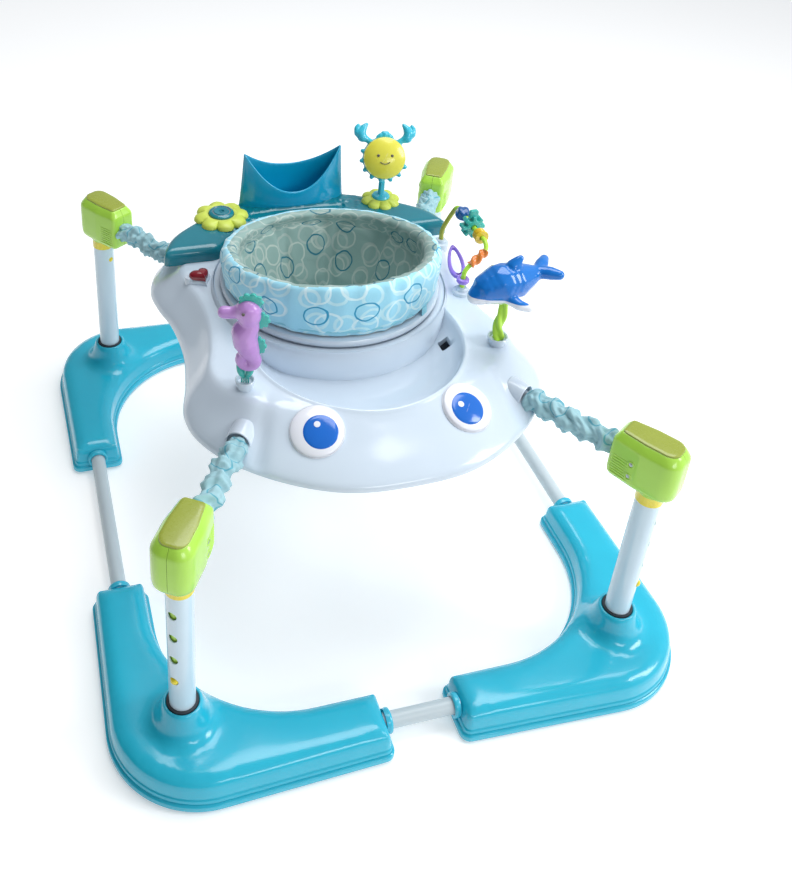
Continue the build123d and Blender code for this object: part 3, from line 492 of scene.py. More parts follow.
def tube(path, radius, sides=20, lobes=0, lobe_depth=0.0, twist=0.0, caps=(True, True)):
    """A tube along a path. Lobes that twist along it make cords and spirals."""
    path = np.asarray(path, float)
    radii = np.broadcast_to(np.asarray(radius, float), len(path))
    tangents = np.gradient(path, axis=0)
    tangents /= np.linalg.norm(tangents, axis=1)[:, None]
    x, _, _ = axes_for(tangents[0])
    x = np.array(x)
    angles = full_turn(sides)
    rings = []
    for k, (centre, along) in enumerate(zip(path, tangents)):
        x = x - along * (x @ along)
        x /= np.linalg.norm(x)
        y = np.cross(along, x)
        turn = twist * k / len(path)
        wave = 1 + lobe_depth * np.cos(lobes * angles + turn)
        rings.append(centre + np.outer(radii[k] * wave * np.cos(angles), x)
                     + np.outer(radii[k] * wave * np.sin(angles), y))
    return skin(rings, caps=caps)


def cut_shape(loops, thick, edge, at, right, normal):
    """A flat shape cut to its loops, with rounded edges, standing on a plane. Later loops are its holes."""
    curve = bpy.data.curves.new("cutter", "CURVE")
    curve.dimensions = "2D"
    curve.fill_mode = "BOTH"
    curve.extrude = thick / 2 - edge
    curve.bevel_depth = edge
    curve.offset = -edge
    curve.bevel_resolution = 3
    for loop in loops:
        spline = curve.splines.new("POLY")
        spline.points.add(len(loop) - 1)
        spline.use_cyclic_u = True
        for point, (x, y) in zip(spline.points, loop):
            point.co = (x, y, 0, 1)
    holder = bpy.data.objects.new("cutter", curve)
    scene.collection.objects.link(holder)
    mesh = holder.to_mesh()
    x_axis = Vector(right).normalized()
    z_axis = Vector(normal).normalized()
    x_axis = (x_axis - z_axis * x_axis.dot(z_axis)).normalized()
    y_axis = z_axis.cross(x_axis)
    points = [Vector(at) + v.co.x * x_axis + v.co.y * y_axis + v.co.z * z_axis for v in mesh.vertices]
    faces = [tuple(f.vertices) for f in mesh.polygons]
    holder.to_mesh_clear()
    bpy.data.objects.remove(holder)
    bpy.data.curves.remove(curve)
    return points, faces


def circle(radius, x=0.0, y=0.0, count=48, squash=1.0):
    """A round or oval loop of 2D points."""
    t = full_turn(count)
    return np.stack([x + radius * np.cos(t), y + radius * squash * np.sin(t)], 1)


def blobs(chains, voxel=1.4, smooth=6):
    """Clay rolled between balls of (x, y, z, radius), pressed together and smoothed into one skin."""
    clay = bmesh.new()
    for chain in chains:
        chain = np.asarray(chain, float)
        for a, b in zip(chain, chain[1:] if len(chain) > 1 else chain):
            gap = np.linalg.norm(b[:3] - a[:3])
            steps = max(1, int(gap / (0.3 * min(a[3], b[3]))))
            for f in np.linspace(0, 1, steps + 1):
                x, y, z, r = a + (b - a) * f
                bmesh.ops.create_icosphere(clay, subdivisions=2, radius=r,
                                           matrix=Matrix.Translation((x, y, z)))
    mesh = bpy.data.meshes.new("clay")
    clay.to_mesh(mesh)
    clay.free()
    holder = bpy.data.objects.new("clay", mesh)
    scene.collection.objects.link(holder)
    remesh = holder.modifiers.new("one_skin", "REMESH")
    remesh.mode = "VOXEL"
    remesh.voxel_size = voxel
    soften = holder.modifiers.new("soften", "SMOOTH")
    soften.iterations = smooth
    made = holder.evaluated_get(bpy.context.evaluated_depsgraph_get()).to_mesh()
    points = [v.co.copy() for v in made.vertices]
    faces = [tuple(f.vertices) for f in made.polygons]
    bpy.data.objects.remove(holder)
    bpy.data.meshes.remove(mesh)
    return points, faces


# %% [markdown]
# ### Relief over an outline
#
# The base corners, the tray and the console are all shells whose height depends on the place in plan. A grid
# of squares would leave a jagged edge. Instead, rings of points follow the outline closely where the wall is
# steep, a staggered grid fills the rest, and a Delaunay triangulation joins them, with the rings kept as
# edges. The height is then set point by point, which gives a crisp rim and a smooth crown in one sheet.


# %% Outlines and relief
def rounded(corners, step=5.0):
    """A closed outline through (x, y, radius) corners, with arcs of that radius and points every step."""
    outline = []
    n = len(corners)
    for i in range(n):
        p, c, q = (np.array(corners[(i + k) % n][:2], float) for k in (-1, 0, 1))
        radius = corners[i][2]
        u, v = (p - c) / np.linalg.norm(p - c), (q - c) / np.linalg.norm(q - c)
        half = math.acos(np.clip(u @ v, -1, 1)) / 2
        reach = radius / math.tan(half)
        centre = c + (u + v) / np.linalg.norm(u + v) * radius / math.sin(half)
        start, stop = c + u * reach - centre, c + v * reach - centre
        a, b = math.atan2(start[1], start[0]), math.atan2(stop[1], stop[0])
        sweep = (b - a + math.pi) % (2 * math.pi) - math.pi
        arc = np.linspace(a, a + sweep, max(4, int(abs(sweep) * radius / step) + 2))
        outline.append(centre + radius * np.stack([np.cos(arc), np.sin(arc)], 1))
    loop = np.concatenate(outline)
    spaced = []
    for a, b in zip(loop, np.roll(loop, -1, axis=0)):
        parts = max(1, int(np.linalg.norm(b - a) / step))
        spaced += [a + (b - a) * k / parts for k in range(parts)]
    return np.array(spaced)


def drawn_in(loop, inset):
    """The loop moved inwards by inset, along its own normals."""
    ahead, behind = np.roll(loop, -1, axis=0), np.roll(loop, 1, axis=0)
    t = ahead - behind
    t /= np.linalg.norm(t, axis=1)[:, None]
    area = np.sum(loop[:, 0] * ahead[:, 1] - ahead[:, 0] * loop[:, 1])
    inward = np.stack([-t[:, 1], t[:, 0]], 1) * (1 if area > 0 else -1)
    return loop + inward * inset


def is_inside(points, loop):
    """Which points lie inside a closed loop, by counting crossings."""
    x, y = points[:, 0][:, None], points[:, 1][:, None]
    ax, ay = loop[:, 0], loop[:, 1]
    bx, by = np.roll(ax, -1), np.roll(ay, -1)
    spans = (ay > y) != (by > y)
    crossing = x < (bx - ax) * (y - ay) / np.where(by == ay, 1e-9, by - ay) + ax
    return np.sum(spans & crossing, axis=1) % 2 == 1


def from_edge(points, loop):
    """Each point's distance to the loop."""
    a, b = loop, np.roll(loop, -1, axis=0)
    best = np.full(len(points), 1e9)
    for start in range(0, len(points), 2000):
        p = points[start:start + 2000][:, None]
        t = np.clip(np.sum((p - a) * (b - a), 2) / np.maximum(np.sum((b - a) ** 2, 1), 1e-9), 0, 1)
        best[start:start + 2000] = np.linalg.norm(p - (a + (b - a) * t[..., None]), axis=2).min(1)
    return best


def relief(rings, holes, height, spacing, clear=0.6, lines=()):
    """A sheet inside rings[0] and outside the holes. rings and lines are (loop, fixed heights or None)."""
    outer = rings[0][0]
    flat, heights, edges = [], [], []
    tracks = [(loop, z, True) for loop, z in list(rings) + list(holes)]
    tracks += [(line, z, False) for line, z in lines]
    for loop, z, is_closed in tracks:
        start, n = len(flat), len(loop)
        flat += [tuple(p) for p in loop]
        heights += list(np.broadcast_to(np.nan if z is None else z, n))
        edges += [(start + i, start + (i + 1) % n) for i in range(n if is_closed else n - 1)]
    low, high = outer.min(0), outer.max(0)
    rows = []
    for k, y in enumerate(np.arange(low[1], high[1], spacing * 0.866)):
        row = np.arange(low[0] + (k % 2) * spacing / 2, high[0], spacing)
        rows.append(np.stack([row, np.full(len(row), y)], 1))
    grid = np.concatenate(rows)
    innermost = rings[-1][0]
    keep = is_inside(grid, innermost) & (from_edge(grid, innermost) > clear * spacing)
    for hole, _ in holes:
        keep &= ~is_inside(grid, hole) & (from_edge(grid, hole) > clear * spacing)
    for line, _ in lines:
        keep &= from_edge(grid, np.concatenate([line, line[::-1]])) > clear * spacing
    flat += [tuple(p) for p in grid[keep]]
    heights += [np.nan] * int(keep.sum())
    points, _, faces, sources, _, _ = delaunay_2d_cdt([Vector(p) for p in flat], edges, [], 0, 1e-6)
    points = np.array([tuple(p) for p in points])
    z = np.array([heights[s[0]] if s else np.nan for s in sources])
    worked = height(points)
    z = np.where(np.isnan(z), worked, z)
    triangles = np.array([tuple(f) for f in faces])
    centres = points[triangles].mean(1)
    kept = is_inside(centres, outer)
    for hole, _ in holes:
        kept &= ~is_inside(centres, hole)
    return [(x, y, h) for (x, y), h in zip(points, z)], [tuple(t) for t in triangles[kept]]


def ramp(value, start, end):
    """Smooth step from 0 at start to 1 at end."""
    t = np.clip((value - start) / (end - start), 0, 1)
    return t * t * (3 - 2 * t)


# %% [markdown]
# ## Base corners
#
# Each corner is blow moulded: one hollow turquoise piece with two arms, a rim that steps twice along its
# bottom edge, and a cone that rises into the collar round the post. Blow moulding can't make sharp inner
# corners, so the crown rolls over gently and the cone flows out of it in a saddle. One corner is made as
# relief and mirrored to the others, with small socket lips where the steel tubes enter the arms.

# %% Base corners
post = middle("post_tube_back_right")
ARM = middle("frame_tube_back").y - post.y
CORNERS = {"front_left": (-1, -1), "front_right": (1, -1), "back_left": (-1, 1), "back_right": (1, 1)}
shell_low, shell_high = (c * 1000 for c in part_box("base_shell_back_right"))
COLLAR_TOP = shell_high.z
CROWN = 50.0
TUBE_Z = middle("frame_tube_back").z
corner_plan = rounded([(shell_low.x, post.y + ARM - 42, 12), (shell_low.x, post.y + ARM + 42, 14),
                       (shell_high.x + 3, shell_high.y + 4, 128), (post.x + ARM + 42, shell_low.y, 14),
                       (post.x + ARM - 42, shell_low.y, 12), (post.x + ARM - 42, post.y + ARM - 42, 185)])
WALL = [(0, 4), (0.15, 10.6), (1.0, 12.0), (3.4, 12.8), (3.8, 18.5), (4.6, 19.8), (5.6, 20.4), (6.0, 22.5),
        (7.0, 35.0), (8.6, 40.0), (11.0, 43.6), (14.0, 46.2), (18.0, 48.2), (25.0, 49.6), (36.0, CROWN)]
CONE = [(21.2, COLLAR_TOP - 5), (22.0, COLLAR_TOP - 0.8), (23.2, COLLAR_TOP), (24.8, COLLAR_TOP - 0.3),
        (26.2, COLLAR_TOP - 2), (29.0, COLLAR_TOP - 10), (32.5, COLLAR_TOP - 20), (36.5, COLLAR_TOP - 28.5),
        (41.5, COLLAR_TOP - 35), (48.0, CROWN + 0.4), (58.0, CROWN - 4), (80.0, CROWN - 12)]


def corner_height(points):
    """Crown height from the nearer edge, or the cone's where that is higher, softly blended."""
    crown = np.interp(from_edge(points, corner_plan), *zip(*WALL))
    reach = np.hypot(points[:, 0] - post.x, points[:, 1] - post.y)
    cone = np.interp(reach, *zip(*CONE))
    blend = 5.0
    swell = blend * math.log(2) * np.exp(-np.abs(crown - cone) / 8)
    return blend * np.logaddexp(crown / blend, cone / blend) - swell


def at_height(loop, z):
    """A flat loop as 3D points at one height."""
    return np.c_[loop, np.full(len(loop), z)]


wall_rings = [(drawn_in(corner_plan, d), z) for d, z in WALL if d < 12]
cone_rings = []
for r, z in CONE[:-3]:
    ring = circle(r, post.x, post.y, 72)
    cone_rings.append((ring, z if r < 30 else None))
bore = cone_rings.pop(0)
corner_points, corner_faces = relief(wall_rings, [bore], corner_height, 8.0,
                                     lines=[(np.concatenate([ring, ring[:1]]), z) for ring, z in cone_rings])
rim = skin([at_height(drawn_in(corner_plan, d), z) for d, z in ((0.0, 4.0), (3.0, 4.0), (3.2, 14.0))],
           caps=(False, False))
LIP = [(12.0, -6.0), (16.0, -6.0), (17.0, -1.0), (16.6, 1.6), (15.0, 2.6), (13.4, 2.6), (12.0, 1.6)]
lips = [lathe(LIP, (shell_low.x, post.y + ARM, TUBE_Z), (-1, 0, 0), 40, closed=True),
        lathe(LIP, (post.x + ARM, shell_low.y, TUBE_Z), (0, -1, 0), 40, closed=True)]
one_corner = joined((corner_points, corner_faces), rim, *lips)
for corner, (sx, sy) in CORNERS.items():
    mirrored = [(sx * x, sy * y, z) for x, y, z in one_corner[0]]
    piece(f"corner_moulding_{corner}", (mirrored, one_corner[1]), blow_moulded_turquoise, "base",
          [f"base_shell_{corner}"], sharp=50)
print("corner moulding:", len(one_corner[0]), "points")

# %% [markdown]
# ## Post heads
#
# Each head is two half shells screwed together round the post, with the parting line down the middle. The top
# is a separate plate in a darker olive-lime, which is painted shade: it is the heads' own lime plastic in
# shade.
# The sides carry a panel of fine grip ribs near the tray end, and one side has two sunk screws. The form is a
# stack of plan outlines: drawn in at the bottom edge, straight up the sides, then in along a wide chamfer. It
# narrows towards the tray. Cutting the stack on its middle plane gives the two halves.

# %% Head outline and its halves
head_low, head_high = (c * 1000 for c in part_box("head_shell_a_front_left"))
HEAD_BOTTOM, HEAD_TOP = head_low.z, head_high.z
STRAP_Z = middle("sleeve_front_left").z
HEAD_REACH = (-34.0, 60.0)
HEAD_HALF = 28.0
head_plan = rounded([(HEAD_REACH[1], HEAD_HALF - 6, 7), (HEAD_REACH[1], -HEAD_HALF + 6, 7),
                     (18, -HEAD_HALF, 30), (HEAD_REACH[0], -HEAD_HALF, 20), (HEAD_REACH[0], HEAD_HALF, 20),
                     (18, HEAD_HALF, 30)], step=3.0)
HEAD_STACK = [(16, HEAD_BOTTOM), (6.5, HEAD_BOTTOM + 0.4), (3.0, HEAD_BOTTOM + 2), (1.0, HEAD_BOTTOM + 5.5),
              (0.2, HEAD_BOTTOM + 11), (0.0, HEAD_BOTTOM + 22), (0.4, HEAD_TOP - 17), (1.0, HEAD_TOP - 14),
              (2.2, HEAD_TOP - 11.5), (6.5, HEAD_TOP - 5.5), (8.2, HEAD_TOP - 3.6), (9.0, HEAD_TOP - 3.2)]
PLATE_STACK = [(9.6, HEAD_TOP - 6), (9.4, HEAD_TOP - 3.4), (9.2, HEAD_TOP - 2.0), (9.6, HEAD_TOP - 1.0),
               (11.0, HEAD_TOP - 0.35), (14.0, HEAD_TOP)]


def shrunk(loop, inset):
    """The head's outline drawn towards its middle line, which can't cross itself."""
    centre = np.array([(HEAD_REACH[0] + HEAD_REACH[1]) / 2, 0.0])
    size = np.array([(HEAD_REACH[1] - HEAD_REACH[0]) / 2, HEAD_HALF])
    return centre + (loop - centre) * (1 - inset / size)


def half_of(form, side):
    """The part of a form on one side of its middle plane, closed along the cut."""
    mesh = bpy.data.meshes.new("half")
    mesh.from_pydata([Vector(p) for p in form[0]], [], form[1])
    cut = bmesh.new()
    cut.from_mesh(mesh)
    everything = cut.verts[:] + cut.edges[:] + cut.faces[:]
    gap = 0.25
    result = bmesh.ops.bisect_plane(cut, geom=everything, plane_co=(0, side * gap, 0), plane_no=(0, side, 0),
                                    clear_inner=True)
    border = [e for e in result["geom_cut"] if isinstance(e, bmesh.types.BMEdge)]
    bmesh.ops.holes_fill(cut, edges=border)
    cut.verts.index_update()
    points = [v.co.copy() for v in cut.verts]
    faces = [tuple(v.index for v in f.verts) for f in cut.faces]
    cut.free()
    bpy.data.meshes.remove(mesh)
    return points, faces


head_block, head_plate = (skin([at_height(shrunk(head_plan, d), z) for d, z in stack])
                          for stack in (HEAD_STACK, PLATE_STACK))
RIB_COUNT, RIB_PITCH, RIB_LENGTH = 8, 4.2, 26.0


def grip_ribs(side):
    """Fine level ribs on a head's side, near the tray end."""
    ribs = []
    for k in range(RIB_COUNT):
        z = HEAD_BOTTOM + 9 + k * RIB_PITCH
        x = np.linspace(HEAD_REACH[1] - 6 - RIB_LENGTH, HEAD_REACH[1] - 6, 9)
        y = side * np.interp(x, [14, HEAD_REACH[1]], [HEAD_HALF + 0.1, HEAD_HALF - 5.7])
        fade = 1.25 * np.sin(np.linspace(0.15, math.pi - 0.15, 9)) ** 0.4
        ribs.append(tube(np.c_[x, y - side * 0.35, np.full(9, z)], fade, 10))
    return joined(*ribs)


SCREW_SPOTS = ((26.0, HEAD_BOTTOM + 18), (26.0, HEAD_BOTTOM + 38))
print("head outline of", len(head_plan), "points, ribs every", RIB_PITCH, "mm")

# %% [markdown]
# The screws sit in round wells. A well in a thin shell would need a boolean cut. A rolled collar with a dark
# floor inside it reads the same from outside and keeps the mesh clean, so each well is a turned ring with the
# screw head sunk in it. The neck under the head is a short turned sleeve that the post slides through.

# %% Place the four heads
WELL = [(3.0, -2.0), (5.0, -1.0), (5.6, 0.1), (5.2, 0.8), (4.2, 0.9), (3.5, 0.2), (3.3, -1.6)]
SCREW = [(0.05, -0.4), (0.9, -0.4), (1.1, -0.9), (2.2, -0.7), (3.2, -1.2), (3.3, -2.2)]
NECK = [(17.0, 0.0), (18.4, 0.3), (18.8, 2.0), (18.9, 6.5), (19.8, 8.5), (23.0, 11.5)]
DIRECTION = middle("sleeve_back_right") - Vector((post.x, post.y, STRAP_Z))
DIRECTION = Vector((abs(DIRECTION.x), abs(DIRECTION.y), 0)).normalized()


def stood_at(form, place, inward):
    """A form made along +X at the origin, moved to place with +X turned to inward."""
    turn = Vector((inward.x, inward.y, 0)).normalized()
    side = Vector((-turn.y, turn.x, 0))
    moved = [Vector(place) + p[0] * turn + p[1] * side + Vector((0, 0, p[2])) for p in map(Vector, form[0])]
    return moved, form[1]


def to_tray(sx, sy):
    """The level direction from a corner's post towards the tray."""
    return Vector((-sx * DIRECTION.x, -sy * DIRECTION.y, 0))


for corner, (sx, sy) in CORNERS.items():
    inward = to_tray(sx, sy)
    place = (sx * post.x, sy * post.y, 0)
    screw_side = -1 if sx * sy > 0 else 1
    for letter, side in (("a", 1), ("b", -1)):
        half = joined(half_of(head_block, side), grip_ribs(side))
        if side == screw_side:
            wells = [lathe(WELL, (x, side * (HEAD_HALF - 1.1), z), (0, side, 0), 28, closed=True)
                     for x, z in SCREW_SPOTS]
            half = joined(half, *wells)
        piece(f"head_half_{letter}_{corner}", stood_at(half, place, inward), lime_abs, f"post_{corner}",
              [f"head_shell_{letter}_{corner}"], sharp=40)
    screws = joined(*[lathe(SCREW, (x, screw_side * (HEAD_HALF - 0.2), z), (0, screw_side, 0), 20)
                      for x, z in SCREW_SPOTS])
    piece(f"head_screws_{corner}", stood_at(screws, place, inward), zinc, f"post_{corner}")
    # The top plate's darker colour is painted shade.
    piece(f"head_plate_{corner}", stood_at(head_plate, place, inward), lime_painted_shade, f"post_{corner}",
          sharp=40)
    piece(f"head_neck_{corner}", lathe(NECK, (place[0], place[1], HEAD_BOTTOM - 8), segments=48), lime_abs,
          f"post_{corner}")
print("heads face along", [round(c, 2) for c in DIRECTION])

# %% [markdown]
# ## The tray
#
# The tray is one big injection moulding: a skirt that rises from four lobes to a flat deck, a scooped snack
# bowl with a raised lip, creases where the front meets the side lobes, and a round wall that carries the
# seat. It is relief too. Rings follow the skirt level by level. Inside them the height is the lower of two
# profiles: the skirt and deck, measured from the edge, and the bowl's scoop, measured from the bowl's own
# centre. So the bowl cuts into the slope at the front and its lip dips there. Lines of points along both
# profiles keep the lip clean. The round wall is turned separately and joined.

# %% Tray outline, the same points as the CAD's edge
SEAT_Y = middle("seat_ring").y
DECK = 393.0
SKIRT_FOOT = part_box("tray_shell")[0].z * 1000
WALL_TOP = top_of("tray_shell")
TRAY_EDGE = [(0, -325, 1.6), (80, -318, 1.6), (150, -288, 1.5), (212, -240, 1.2), (252, -184, 1.0),
             (263, -130, 0.9), (250, -70, 0.8), (240, 0, 0.7), (244, 70, 0.7), (258, 125, 0.8),
             (262, 172, 0.9), (243, 224, 1.0), (198, 266, 1.0), (138, 300, 0.9), (70, 324, 0.8),
             (0, 332, 0.8)]


def tray_ring(inset, count=360):
    """The tray's outline drawn in by inset times each point's own rate."""
    half = []
    for x, y, rate in TRAY_EDGE:
        k = 1 - inset * rate / math.hypot(x, y - SEAT_Y)
        half.append((x * k, SEAT_Y + (y - SEAT_Y) * k))
    return curve_through(half + [(-x, y) for x, y in half[-2:0:-1]], count, closed=True)


SKIRT = [(0, SKIRT_FOOT), (0.4, SKIRT_FOOT + 4.5), (2.0, SKIRT_FOOT + 8), (5.0, SKIRT_FOOT + 11.5),
         (10, SKIRT_FOOT + 16), (16, SKIRT_FOOT + 21), (22, SKIRT_FOOT + 25.5), (28, SKIRT_FOOT + 30),
         (34, SKIRT_FOOT + 34.5), (40, SKIRT_FOOT + 39.5), (46, SKIRT_FOOT + 44.5), (51, SKIRT_FOOT + 48.8),
         (55, DECK - 3.2), (58, DECK - 1.4), (61, DECK - 0.4), (64, DECK)]
BOWL_Y, BOWL_R = -78.0, 156.0
BOWL = [(0, 355), (100, 355), (116, 356), (128, 359.5), (138, 365), (145.5, 372), (151, 381), (154, 389),
        (156, 397), (158, 412), (162, 450), (900, 900)]
polar = {}
for inset in (0, 10):
    ring = tray_ring(inset)
    turn = np.arctan2(ring[:, 1] - SEAT_Y, ring[:, 0])
    order = np.argsort(turn)
    polar[inset] = (turn[order], np.hypot(ring[order, 0], ring[order, 1] - SEAT_Y))


def deck_height(points):
    """The lower of the skirt and deck and the bowl's scoop, with a soft raised lip where the two meet."""
    x, y = points[:, 0], points[:, 1]
    turn = np.arctan2(y - SEAT_Y, x)
    edge = np.interp(turn, *polar[0], period=2 * math.pi)
    ten_in = np.interp(turn, *polar[10], period=2 * math.pi)
    skirt = np.interp(10 * (edge - np.hypot(x, y - SEAT_Y)) / (edge - ten_in), *zip(*SKIRT))
    reach = np.hypot(x, y - BOWL_Y)
    skirt += 2.6 * np.exp(-((reach - BOWL_R - 2.0) / 3.2) ** 2)
    return np.minimum(skirt, np.interp(reach, *zip(*BOWL)))


def creased(points):
    """The two creases between the front and the side lobes."""
    points = np.array(points, float)
    x, y = np.abs(points[:, 0]), points[:, 1]
    start, stop = np.array((196.0, -272.0)), np.array((150.0, -150.0))
    along = np.clip(((x - start[0]) * (stop - start)[0] + (y - start[1]) * (stop - start)[1])
                    / np.sum((stop - start) ** 2), 0, 1)
    off = np.hypot(x - start[0] - along * (stop - start)[0], y - start[1] - along * (stop - start)[1])
    above_foot = ramp(points[:, 2], SKIRT_FOOT, SKIRT_FOOT + 14)
    points[:, 2] -= 4.5 * np.exp(-(off / 11.0) ** 2) * ramp(along, 1.0, 0.35) * above_foot
    return [tuple(p) for p in points]


def arc_outside_wall(radius):
    """The part of a bowl ring that lies outside the round wall."""
    ring = circle(radius, 0, BOWL_Y, 200)
    ring = np.roll(ring, -50, axis=0)
    kept = np.hypot(ring[:, 0], ring[:, 1] - SEAT_Y) > WALL_FOOT + 3
    return ring[kept]


WALL_FOOT = 181.0
skirt_rings = [(tray_ring(s), z) for s, z in SKIRT if s < 35]
foot_hole = circle(WALL_FOOT, 0, SEAT_Y, 160)
slot_hole = rounded([(130, -99, 2), (145, -99, 2), (145, -78, 2), (130, -78, 2)], step=4)
bowl_lines = [(arc_outside_wall(r), None)
              for r in (116, 128, 138, 145.5, 151, 154, 156, 157.5, 159, 161, 164)]
for inset in (41, 47, 53, 58, 64):
    ring = tray_ring(inset, 240)
    outside = np.hypot(ring[:, 0], ring[:, 1] - BOWL_Y) > BOWL_R + 12
    first = int(np.argmin(outside))
    ring, outside = np.roll(ring, -first, axis=0), np.roll(outside, -first)
    bowl_lines.append((ring[outside] if not outside.all() else ring, None))
tray_sheet = relief(skirt_rings, [(foot_hole, None), (slot_hole, None)], deck_height, 6.0, lines=bowl_lines)
ROUND_WALL = [(165.2, SKIRT_FOOT), (165.0, WALL_TOP - 5), (165.6, WALL_TOP - 1.6), (167.5, WALL_TOP),
              (176.0, WALL_TOP), (178.2, WALL_TOP - 1.2), (179.0, WALL_TOP - 4), (179.6, 402), (180.6, 396),
              (183.4, 392.6), (183.4, 352), (180.0, 350), (179.0, SKIRT_FOOT)]
round_wall = lathe(ROUND_WALL, (0, SEAT_Y, 0), segments=160, closed=True)
slot_top = np.c_[slot_hole, deck_height(slot_hole)]
slot_wall = skin([slot_top, slot_top - (0, 0, 9)], caps=(False, False))
lip_foot = skin([at_height(tray_ring(d), SKIRT_FOOT + z) for d, z in ((0, 0), (3.2, 0), (4.5, 7))],
                caps=(False, False))
tray_form = joined((creased(tray_sheet[0]), tray_sheet[1]), round_wall, slot_wall, lip_foot)
tray = piece("tray_moulding", tray_form, white_abs, "tray", ["tray_shell"], sharp=44)
print("tray moulding:", len(tray.data.polygons), "faces")

# %% [markdown]
# Each spring strap enters the tray through a moulded port. A plain hole in relief would show a thin edge, so
# a soft collar is turned round each strap, set in the skirt, as the moulding has.

# %% Strap ports, one at each lobe
PORT = [(15.5, -30.0), (19.0, -26.0), (18.6, -10.0), (17.6, 0.0), (16.6, 1.0), (15.4, 0.2), (15.0, -14.0)]
SLEEVE_START, SLEEVE_STOP = 61.0, 186.0
ports = []
for sx, sy in CORNERS.values():
    inward = to_tray(sx, sy)
    mouth = Vector((sx * post.x, sy * post.y, STRAP_Z)) + inward * (SLEEVE_STOP + 13)
    ports.append(lathe(PORT, mouth, -inward, 40, closed=True))
piece("strap_ports", joined(*ports), white_abs, "tray")

# %% [markdown]
# ## Eyes
#
# The eyes are white domes snapped into the sloping front, each with a large blue iris printed off centre and
# a small white glint. Each dome is turned about an axis square to the slope, which is measured at four spots
# round it. Iris and glint are thin discs that follow the dome's curve a few tenths of a millimetre above it,
# which keeps their edges sharp.

# %% Eye domes, irises and glints
EYE_X, EYE_Y = 106.0, -240.0
EYE_R, EYE_RISE = 35.5, 9.0


def dome_height(r):
    """Height of the dome's skin at r from its axis."""
    return EYE_RISE * math.sqrt(max(0.0, 1 - (r / (EYE_R + 2)) ** 2)) - 1.0


def patch(centre, normal, x_axis, shift, radius, lift, squash=1.0):
    """A thin disc that lies on the dome, shifted from its axis."""
    y_axis = normal.cross(x_axis)
    rings = []
    for share in (1.0, 0.96, 0.8, 0.6, 0.4, 0.2, 0.02):
        ring = []
        for u, v in circle(radius * share, 0, 0, 48, squash):
            reach = math.hypot(u + shift[0], v + shift[1])
            rise = dome_height(reach) + (lift if share < 1 else lift - 0.5)
            ring.append(tuple(centre + x_axis * (u + shift[0]) + y_axis * (v + shift[1]) + normal * rise))
        rings.append(ring)
    return skin(rings, caps=(False, True))


white_domes, irises, glints = [], [], []
for side in (-1, 1):
    spots = np.array([(side * EYE_X + 30 * math.cos(a), EYE_Y + 30 * math.sin(a))
                      for a in (0, 1.57, 3.14, 4.71)])
    heights = deck_height(spots)
    normal = Vector(((heights[2] - heights[0]) / 60, (heights[3] - heights[1]) / 60, 1.0)).normalized()
    centre = Vector((side * EYE_X, EYE_Y, float(heights.mean()))) + normal * 1.5
    x_axis = Vector((0, 0, 1)).cross(normal).normalized()
    profile = [(EYE_R, -6.0), (EYE_R + 0.3, dome_height(EYE_R) - 1.0)]
    profile += [(EYE_R * s, dome_height(EYE_R * s))
                for s in (0.985, 0.95, 0.88, 0.78, 0.64, 0.48, 0.3, 0.15, 0.01)]
    white_domes.append(lathe(profile, centre, normal, 72))
    rim_groove = [(EYE_R + 0.2, -6.0), (EYE_R + 1.4, -4.0), (EYE_R + 1.5, -0.6), (EYE_R + 1.0, 0.0),
                  (EYE_R + 0.5, -0.4)]
    white_domes.append(lathe(rim_groove, centre, normal, 72, closed=True))
    irises.append(patch(centre, normal, x_axis, (5.5 * -side, -2.5), 23.5, 0.35))
    glints.append(patch(centre, normal, x_axis, (-6.0 + 5.5 * -side, 6.5), 4.4, 0.75))
piece("eye_white_domes", joined(*white_domes), eye_abs, "tray", ["eye_domes"])
piece("eye_irises", joined(*irises), iris_ink, "tray")
piece("eye_glints", joined(*glints), eye_abs, "tray")

# %% [markdown]
# ## The water console
#
# Behind the seat a teal console is screwed over the deck. Its top is moulded as rippling water: pebbled
# relief near the tail and smooth towards the ends, with a sunk smooth bar in front of the tail. The edge
# rolls over in a wide glossy curve. The pebbles are real relief: every point is raised by how near it is to
# the middle of its cell in a fixed Voronoi pattern of 10 mm, so they also catch light from the side.

# %% Console
def softened(loop, radius):
    """A closed loop of even points whose corners are rounded by averaging over about the radius."""
    closed = np.concatenate([loop, loop[:1]])
    run = np.concatenate([[0], np.cumsum(np.linalg.norm(np.diff(closed, axis=0), axis=1))])
    even = np.linspace(0, run[-1], int(run[-1] / 3), endpoint=False)
    fine = np.stack([np.interp(even, run, closed[:, k]) for k in (0, 1)], 1)
    half = int(radius / 3)
    weights = np.hanning(2 * half + 3)[1:-1]
    wrapped = np.concatenate([fine[-half:], fine, fine[:half]])
    smooth = [np.convolve(wrapped[:, k], weights / weights.sum(), "valid") for k in (0, 1)]
    return np.stack(smooth, 1)[::2]


